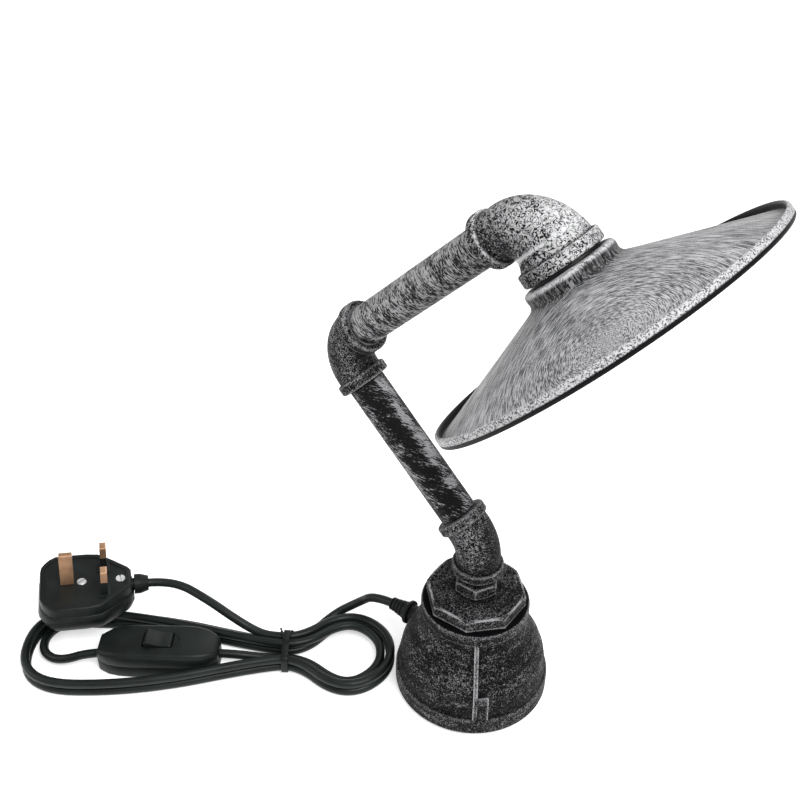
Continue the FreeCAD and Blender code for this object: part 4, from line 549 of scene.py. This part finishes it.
# the flex: one cord from the bell's back, twice round the hank, through the switch and to the plug
flexValues = {
    "diameter": 0.0055,
    "exit": (-0.0585, 0.0, 0.028),
    "length": 1.72,
    "points": [
        (-0.0585, 0.0, 0.028), (-0.0723, -0.0003, 0.0265), (-0.0830, 0.0003, 0.0150),
        (-0.0969, -0.0109, 0.0044),
        (-0.0982, -0.0417, 0.0037), (-0.1136, -0.0520, 0.0037), (-0.1894, -0.0774, 0.0028),
        (-0.2490, -0.1176, 0.0028), (-0.2148, -0.1683, 0.0028), (-0.1552, -0.1281, 0.0028),
        (-0.1033, -0.0674, 0.0037), (-0.0876, -0.0568, 0.0037), (-0.0606, -0.0601, 0.0028),
        (-0.0449, -0.0495, 0.0028), (-0.0406, -0.0275, 0.0028), (-0.0531, -0.0088, 0.0028),
        (-0.0752, -0.0046, 0.0028), (-0.0909, -0.0152, 0.0028), (-0.0926, -0.0452, 0.0037),
        (-0.1109, -0.0575, 0.0037), (-0.1867, -0.0829, 0.0028), (-0.2088, -0.0989, 0.0028),
        (-0.2317, -0.1133, 0.0028), (-0.2335, -0.1282, 0.0029), (-0.2235, -0.1394, 0.0035),
        (-0.2084, -0.1391, 0.0050), (-0.1946, -0.1226, 0.0085), (-0.1309, -0.0797, 0.0090),
        (-0.1074, -0.0628, 0.0037), (-0.0891, -0.0505, 0.0037), (-0.0621, -0.0538, 0.0040),
        (-0.0504, -0.0459, 0.0049), (-0.0471, -0.0288, 0.0058), (-0.0568, -0.0144, 0.0064),
        (-0.0739, -0.0110, 0.0073), (-0.0856, -0.0190, 0.0082), (-0.0926, -0.0452, 0.0098),
        (-0.1109, -0.0575, 0.0098), (-0.1867, -0.0829, 0.0088), (-0.2490, -0.1176, 0.0088),
        (-0.2148, -0.1683, 0.0088), (-0.1552, -0.1281, 0.0088), (-0.1033, -0.0674, 0.0098),
        (-0.0876, -0.0568, 0.0098), (-0.0606, -0.0601, 0.0088), (-0.0449, -0.0495, 0.0088),
        (-0.0406, -0.0275, 0.0088), (-0.0531, -0.0088, 0.0088), (-0.0752, -0.0046, 0.0088),
        (-0.0909, -0.0152, 0.0088), (-0.0979, -0.0415, 0.0098), (-0.1147, -0.0528, 0.0098),
        (-0.1254, -0.0557, 0.0118), (-0.1389, -0.0590, 0.0178), (-0.1557, -0.0608, 0.0235),
        (-0.1855, -0.0607, 0.0238), (-0.1962, -0.0725, 0.0252)
    ],
}

flexCurve = bpy.data.curves.new("mains_flex", "CURVE")
flexCurve.dimensions = "3D"
flexLine = flexCurve.splines.new("NURBS")
flexLine.points.add(len(flexValues["points"]) - 1)
for point, place in zip(flexLine.points, flexValues["points"]):
    point.co = (*place, 1)
flexLine.order_u = 3
flexLine.use_endpoint_u = True
flexLine.resolution_u = 12
flexCurve.bevel_depth = flexValues["diameter"] / 2
flexCurve.bevel_resolution = 5
flexCurve.use_fill_caps = True
mainsFlex = bpy.data.objects.new("mains_flex", flexCurve)
bpy.context.scene.collection.objects.link(mainsFlex)
flexCurve.materials.append(finishes["cord"])
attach(mainsFlex, "base")
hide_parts("cord_lead", "cord_hank_lower", "cord_hank_upper", "cord_plug_lead")
print("flex laid,", len(flexValues["points"]), "points")

# the shade: its cone, rounded neck and rolled hem, as rings of (radius, station) in millimetres
shadeShape = {
    "crossing": (0.014645, 0.0, 0.315055), "lean": 135.0, "inside": (0.0293, 0.0905),
    "rings": [
        (5.05, 28.7), (19.0, 28.7), (21.4, 28.8), (22.9, 29.3), (23.75, 30.2), (24.0, 31.4), (23.95, 32.8),
        (23.8, 34.0), (23.95, 35.2), (24.5, 36.3), (25.6, 37.25), (27.4, 38.1), (31.0, 39.5), (45.0, 44.75),
        (62.0, 51.1), (78.0, 57.0), (88.5, 60.85), (90.3, 61.5), (90.85, 61.3), (91.0, 60.6), (91.0, 59.1),
        (91.25, 58.4), (91.9, 58.1), (92.7, 58.2), (93.2, 58.7), (93.4, 59.5), (93.4, 62.3), (93.25, 63.2),
        (92.7, 63.75), (91.9, 63.9), (90.9, 63.55), (89.4, 62.95), (78.0, 58.75), (62.0, 52.8), (45.0, 46.4),
        (31.0, 41.1), (27.0, 39.6), (25.0, 38.4), (23.7, 36.9), (23.1, 35.2), (23.0, 33.9), (23.15, 31.5),
        (22.6, 30.3), (21.2, 29.6), (19.0, 29.5), (5.05, 29.5)]}
shade = turnedPiece("spun_shade", shadeShape["rings"], 192)
shade.data.materials.append(finishes["shade"])
shade.data.materials.append(finishes["shadeInside"])
insideFrom, insideReach = shadeShape["inside"]
pick(shade, "faces", lambda c, n: n.z > 0.35 and c.z > insideFrom and math.hypot(c.x, c.y) < insideReach)
shade.active_material_index = 1
bpy.ops.object.material_slot_assign()
settle(shade, Matrix.Translation(shadeShape["crossing"]) @ turn(shadeShape["lean"], "Y"))
smoothed(shade, 50)
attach(shade, "head")
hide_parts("shade")
print("shade turned")

# the ribbed strain relief at the back of the bell
reliefValues = {"exit": (0.0, 0.0, 0.028), "bore": 2.8, "root": 5.5, "tip": 3.9, "start": 36.2, "end": 58.5,
                "neckEnd": 44.15, "flange": [(7.3, 44.2), (7.5, 44.6), (7.4, 45.9), (6.9, 46.5), (5.7, 46.8)],
                "ribs": 4, "ribsFrom": 47.6, "ribsSpan": 9.9, "lastRib": 4.2,
                "ribShape": [(0.0, 0.0), (0.1, 0.13), (1.0, 0.16), (1.0, 0.2)],
                "tipShape": [(0.25, 1.0), (0.0, 0.3), (-0.5, 0.0)]}


def reliefRings(values):
    # the rings in millimetres: neck, flange, ribs that get narrower, rounded tip
    root, tip, end = values["root"], values["tip"], values["end"]
    rings = [(values["bore"], values["start"]), (root, values["start"]), (root, values["neckEnd"])]
    rings += values["flange"]
    for rib in range(values["ribs"]):
        low = values["ribsFrom"] + values["ribsSpan"] * rib / values["ribs"]
        wide = root - (root - values["lastRib"]) * rib / (values["ribs"] - 1)
        rings += [(wide - deep, low + values["ribsSpan"] * share) for deep, share in values["ribShape"]]
    rings += [(tip + out, end - back) for out, back in values["tipShape"]]
    return rings + [(values["bore"], end)]


relief = turnedPiece("ribbed_relief", reliefRings(reliefValues), 40)
relief.data.materials.append(finishes["rubber"])
settle(relief, Matrix.Translation(reliefValues["exit"]) @ turn(-90, "Y"))
smoothed(relief, 35)
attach(relief, "base")
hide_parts("cord_strain_relief")
print("relief turned")

# where the hank, the switch on it and the plug lie
hankValues = {"place": (-0.1, -0.054, 0.0), "turned": 34.0, "switch": (-0.077, -0.004, 0.0),
              "plug": (-0.128, 0.029, 0.0146), "plugTurned": 14.0, "plugLean": 5.0}
hankPlace = Matrix.Translation(hankValues["place"]) @ turn(hankValues["turned"], "Z")
switchPlace = hankPlace @ Matrix.Translation(hankValues["switch"])
plugPlace = (hankPlace @ Matrix.Translation(hankValues["plug"]) @ turn(hankValues["plugTurned"], "Z")
             @ turn(hankValues["plugLean"], "Y"))


def finishPiece(piece, placed, finish, body, node, angle=35):
    piece.data.materials.clear()
    piece.data.materials.append(finishes[finish])
    settle(piece, placed)
    smoothed(piece, angle)
    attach(piece, body)
    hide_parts(node)


# the in-line switch: two moulded halves with a seam, and the rocker in its window
switchValues = {
    "outline": [(37.0, 5.7, 15.4), (36.2, 7.5, 15.9), (34.4, 8.9, 16.6), (29.6, 11.5, 17.9),
                (22.9, 13.0, 18.7), (15.5, 13.5, 19.0)],
    "seam": 9.0, "gap": 0.1, "groove": 0.35, "reach": 36.9, "topRound": (2.6, 5, 15.0),
    "footRound": (1.6, 4, 1.0), "window": (9.3, 6.15, 1.2), "windowDeep": (12.0, 22.0), "dishAt": 7.0,
    "dish": [(5.6, 18.1), (6.4, 19.0), (6.8, 21.0)], "pivot": (0.0, 0.0, 0.0167), "pressed": 7.0,
    "rockerHalf": 5.75, "rockerLow": -2.1,
    "rockerTop": [(-8.5, 4.4), (-7.7, 5.6), (-6.9, 5.9), (-3.4, 4.6), (0.0, 3.7), (3.4, 3.6), (6.9, 4.0),
                  (7.8, 3.8), (8.5, 3.2)]}


def switchStations(low, high):
    # the outline runs from one blunt end to the other; high is the top level, or None for the sloped top
    half = [(along, wide, low, top if high is None else high) for along, wide, top in switchValues["outline"]]
    return [(-along, wide, base, top) for along, wide, base, top in half] + half[::-1]


def rimTest(level, side, reach):
    # edges of the outline on one side of a level in millimetres, and not those that cross the piece
    def test(a, b):
        away = min(side * (end.z - level / 1000) for end in (a, b))
        across = abs(a.x - b.x) < 0.0001 and abs(a.x) < reach / 1000
        return away > 0 and not across
    return test


seam, gap, reach = switchValues["seam"], switchValues["gap"], switchValues["reach"]
topRadius, topSteps, topLevel = switchValues["topRound"]
switchHigh = drawnOut("switch_upper_half", switchStations(seam + gap, None))
rounded(switchHigh, topRadius / 1000, topSteps, rimTest(topLevel, 1, reach))
bevelled(switchHigh, switchValues["groove"] / 1000, 2, 50)
halfLong, halfWide, corner = switchValues["window"]
windowTool = drawnOut("window_tool", [(along, halfWide, *switchValues["windowDeep"])
                                      for along in (-halfLong, halfLong)])
rounded(windowTool, corner / 1000, 4, lambda a, b: abs(a.z - b.z) > 0.005)
dishTool = turnedPiece("dish_tool", switchValues["dish"], 40, solid=True)
settle(dishTool, Matrix.Translation((switchValues["dishAt"] / 1000, 0, 0)))
cutAway(switchHigh, dishTool)
cutAway(switchHigh, windowTool)
finishPiece(switchHigh, switchPlace, "plastic", "base", "switch_cover")

footRadius, footSteps, footLevel = switchValues["footRound"]
switchLow = drawnOut("switch_lower_half", switchStations(0.0, seam - gap))
rounded(switchLow, footRadius / 1000, footSteps, rimTest(footLevel, -1, reach))
bevelled(switchLow, switchValues["groove"] / 1000, 2, 50)
finishPiece(switchLow, switchPlace, "plastic", "base", "switch_base")

rockerPlace = (switchPlace @ Matrix.Translation(switchValues["pivot"])
               @ turn(switchValues["pressed"], "Y"))
rocker = drawnOut("rocker_key", [(along, switchValues["rockerHalf"], switchValues["rockerLow"], top)
                                 for along, top in switchValues["rockerTop"]])
bevelled(rocker, 0.0005, 3, 30)
finishPiece(rocker, rockerPlace, "plastic", "rocker", "switch_rocker")
print("switch modelled")

# the plug: a moulded shell below, the pin plate above with its rim, pin pads and slotted screws
plugValues = {
    "outline": [(-29.0, 12.0), (-28.2, 16.4), (-26.4, 19.8), (-23.4, 23.4), (-19.6, 25.7), (-16.0, 26.0),
                (-1.0, 26.0), (9.0, 25.0), (15.5, 20.6), (21.0, 16.1), (26.8, 11.2), (29.0, 8.0)],
    "split": 14.0, "gap": 0.1, "top": 21.0, "girth": 9.0,
    "foot": (0.90, 0.86, 1), "lip": (0.965, 0.955, 1), "centre": (0.002, 0, 0),
    "footRound": (2.8, 4), "lipRound": (0.7, 2), "faceInset": 1.3, "faceRound": (1.3, 3),
    "rim": 2.0, "rimSlope": 0.4, "rimDepth": 0.6,
    "pads": [(7.4, 14.8, -16.2, -6.0), (7.4, 14.8, 6.0, 16.2)], "padThick": 1.4, "padRound": 0.4,
    "screws": [(-2.5, 0.0), (21.0, 0.0)], "screwHole": [(3.3, 18.25), (3.3, 22.0)],
    "screwHead": [(3.0, 18.3), (3.0, 20.1), (2.6, 20.5)], "screwSlot": (0.45, 19.3, 20.6),
    "slotTurns": (35, 95)}


def plugStations(low, high, inset):
    return [(along - math.copysign(inset, along), wide - inset, low, high)
            for along, wide in plugValues["outline"]]


split, plugTop, gap = plugValues["split"], plugValues["top"], plugValues["gap"]
plugShell = drawnOut("plug_shell", plugStations(0.0, split - gap, 0.0))
pick(plugShell, "faces", lambda c, n: True)
bpy.ops.mesh.bisect(plane_co=(0, 0, plugValues["girth"] / 1000), plane_no=(0, 0, 1))
letGo()
# the shell narrows to its foot and a little to its lip
for part, test in (("foot", lambda c: c.z < 0.001), ("lip", lambda c: c.z > 0.0135)):
    pick(plugShell, "corners", test)
    bpy.ops.transform.resize(value=plugValues[part], center_override=plugValues["centre"])
    letGo()
for part, test in (("footRound", rimTest(1.0, -1, 25.5)), ("lipRound", rimTest(13.5, 1, 27.5))):
    radius, steps = plugValues[part]
    rounded(plugShell, radius / 1000, steps, test)
finishPiece(plugShell, plugPlace, "plastic", "base", "plug_cover", 40)

plugFace = drawnOut("plug_pin_plate", plugStations(split + gap, plugTop, plugValues["faceInset"]))
radius, steps = plugValues["faceRound"]
rounded(plugFace, radius / 1000, steps, rimTest(20.9, 1, 27.6))
pick(plugFace, "faces", lambda c, n: n.z > 0.999 and c.z > 0.02095)
bpy.ops.mesh.dissolve_faces()
bpy.ops.mesh.inset(thickness=plugValues["rim"] / 1000, depth=0, use_even_offset=False)
bpy.ops.mesh.inset(thickness=plugValues["rimSlope"] / 1000, depth=-plugValues["rimDepth"] / 1000,
                   use_even_offset=False)
letGo()
for along, across in plugValues["screws"]:
    holeTool = turnedPiece("hole_tool", plugValues["screwHole"], 28, solid=True)
    settle(holeTool, Matrix.Translation((along / 1000, across / 1000, 0)))
    cutAway(plugFace, holeTool)
pads = []
for start, end, near, far in plugValues["pads"]:
    levels = (plugTop - plugValues["padThick"], plugTop)
    pad = drawnOut("pin_pad", [(along, (far - near) / 2, *levels) for along in (start, end)])
    settle(pad, Matrix.Translation((0, (near + far) / 2000, 0)))
    bevelled(pad, plugValues["padRound"] / 1000, 2)
    pads.append(pad)
plugFace = joined([plugFace] + pads, "plug_pin_plate")
finishPiece(plugFace, plugPlace, "plastic", "base", "plug_base", 40)

screwHeads = []
for (along, across), slotTurned in zip(plugValues["screws"], plugValues["slotTurns"]):
    head = turnedPiece("screw_head", plugValues["screwHead"], 28, solid=True)
    slotTool = drawnOut("slot_tool", [(x, *plugValues["screwSlot"]) for x in (-4, 4)])
    cutAway(head, slotTool)
    settle(head, Matrix.Translation((along / 1000, across / 1000, 0)) @ turn(slotTurned, "Z"))
    screwHeads.append(head)
screwHeads = joined(screwHeads, "plug_screw_heads")
finishPiece(screwHeads, plugPlace, "steel", "base", "plug_screws")
print("plug modelled")

# the tie round the hank's waist: a flat strap with two twisted ends
tieValues = {"halfWidth": 13.1, "height": 13.7, "wide": 4.0, "corner": 3.6, "thick": 0.9,
             "ends": [(0.75, 114), (-0.75, 66)], "endRise": -22, "endDrop": 0.5,
             "endShape": (0.75, -0.3, 0.3), "endStart": 0.5, "endLength": 9.5, "endSteps": 14, "twist": 38}
strap = drawnOut("flex_tie", [(along, tieValues["halfWidth"], 0, tieValues["height"])
                              for along in (-tieValues["wide"] / 2, tieValues["wide"] / 2)])
pick(strap, "faces", lambda c, n: abs(n.x) > 0.9)
bpy.ops.mesh.delete(type="ONLY_FACE")
letGo()
rounded(strap, tieValues["corner"] / 1000, 5, lambda a, b: abs(a.x - b.x) > 0.001)
take(strap)
wall = strap.modifiers.new("wall", "SOLIDIFY")
wall.thickness = tieValues["thick"] / 1000
wall.offset = -1
bpy.ops.object.modifier_apply(modifier=wall.name)
bevelled(strap, 0.0002, 2, 60)
tieEnds = []
for across, heading in tieValues["ends"]:
    steps = tieValues["endSteps"]
    end = drawnOut("tie_end", [(along, *tieValues["endShape"]) for along in (0, tieValues["endStart"])])
    pick(end, "faces", lambda c, n: n.x > 0.9)
    for step in range(steps):
        bpy.ops.mesh.extrude_region_move(
            TRANSFORM_OT_translate={"value": (tieValues["endLength"] / steps / 1000, 0, 0)})
        bpy.ops.transform.rotate(value=math.radians(tieValues["twist"]), orient_axis="X",
                                 center_override=(0, 0, 0))
    letGo()
    foot = (0, across / 1000, (tieValues["height"] - tieValues["endDrop"]) / 1000)
    settle(end, Matrix.Translation(foot) @ turn(heading, "Z") @ turn(tieValues["endRise"], "Y"))
    tieEnds.append(end)
strap = joined([strap] + tieEnds, "flex_tie")
finishPiece(strap, hankPlace, "plastic", "base", "cord_tie", 40)
print("tie modelled")

# the floor and the light
white = (1, 1, 1, 1)
floorValues = {"size": 60.0, "colour": (0.88, 0.88, 0.88), "paler": (0.90, 0.90, 0.90), "rough": 0.85,
               "gloss": 0.2, "drift": (3.0, 2.0), "driftStep": (0.3, 0.7), "glow": 0.52}
letGo()
bpy.ops.mesh.primitive_plane_add(size=floorValues["size"], location=(0, 0, 0))
floor = bpy.context.object
floor.name = "floor"
floorFinish, floorTree, floorShader, floorCoords = startFinish("floor_pale", floorValues["rough"], 0.0,
                                                               floorValues["gloss"])
floorDrift = rampOf(floorTree, noiseOf(floorTree, floorCoords, *floorValues["drift"]),
                    *floorValues["driftStep"])
floorTree.links.new(mixOf(floorTree, floorDrift, floorValues["colour"], floorValues["paler"]),
                    floorShader.inputs["Base Color"])
floorShader.inputs["Emission Color"].default_value = white
floorShader.inputs["Emission Strength"].default_value = floorValues["glow"]
floor.data.materials.append(floorFinish)

studio = {"sky": 0.42, "aim": (0, 0, 0.15),
          "lamps": {"key": {"place": (0.65, -0.25, 1.2), "size": 0.7, "power": 17.0},
                    "left": {"place": (-0.95, -0.75, 0.75), "size": 1.0, "power": 5.0},
                    "back": {"place": (-0.3, 1.0, 1.0), "size": 1.0, "power": 5.0}}}
world = bpy.data.worlds.new("studio")
bpy.context.scene.world = world
world.use_nodes = True
world.node_tree.nodes["Background"].inputs["Color"].default_value = white
world.node_tree.nodes["Background"].inputs["Strength"].default_value = studio["sky"]
for name, values in studio["lamps"].items():
    bpy.ops.object.light_add(type="AREA", location=values["place"])
    lamp = bpy.context.object
    lamp.name = "light_" + name
    lamp.data.size = values["size"]
    lamp.data.energy = values["power"]
    aim = Vector(studio["aim"]) - Vector(values["place"])
    lamp.rotation_euler = aim.to_track_quat("-Z", "Y").to_euler()
bpy.context.scene.view_settings.view_transform = "Standard"
print("floor and lights set")

# the CAD nodes that stay, by the finish they get
nodeFinishes = {
    "castBell": ["bell_base"],
    "castBush": ["octagon_bush", "hex_nipple"],
    "castElbow": ["lower_elbow", "middle_elbow"],
    "castHead": ["upper_elbow"],
    "pipeLower": ["lower_pipe"],
    "pipeUpper": ["upper_pipe"],
    "blackMetal": ["head_plug"],
    "steel": ["base_plate", "hollow_nipple", "nipple_lock_nut", "shade_washer", "switch_screws",
              "rocker_pin"],
    "brass": ["screw_shell", "centre_contact", "lampholder_terminals", "earth_screw", "earth_tag",
              "switch_contacts"],
    "pinMetal": ["earth_pin", "line_pin", "neutral_pin"],
    "holder": ["lampholder_cap", "lampholder_body"],
    "ceramic": ["lampholder_insert", "plug_fuse"],
    "felt": ["felt_pad"],
    "cord": ["base_flex", "lower_flex", "upper_flex", "head_flex"],
    "plastic": ["pin_sleeves"],
    "rubber": ["plug_grommet"],
    "earth": ["earth_wire"],
}
for finishName, names in nodeFinishes.items():
    for name in names:
        node = cadNodes[name]
        if not node.material_slots:
            node.data.materials.append(finishes[finishName])
        for place in node.material_slots:
            place.material = finishes[finishName]
print("finishes given to the CAD nodes")

letGo()
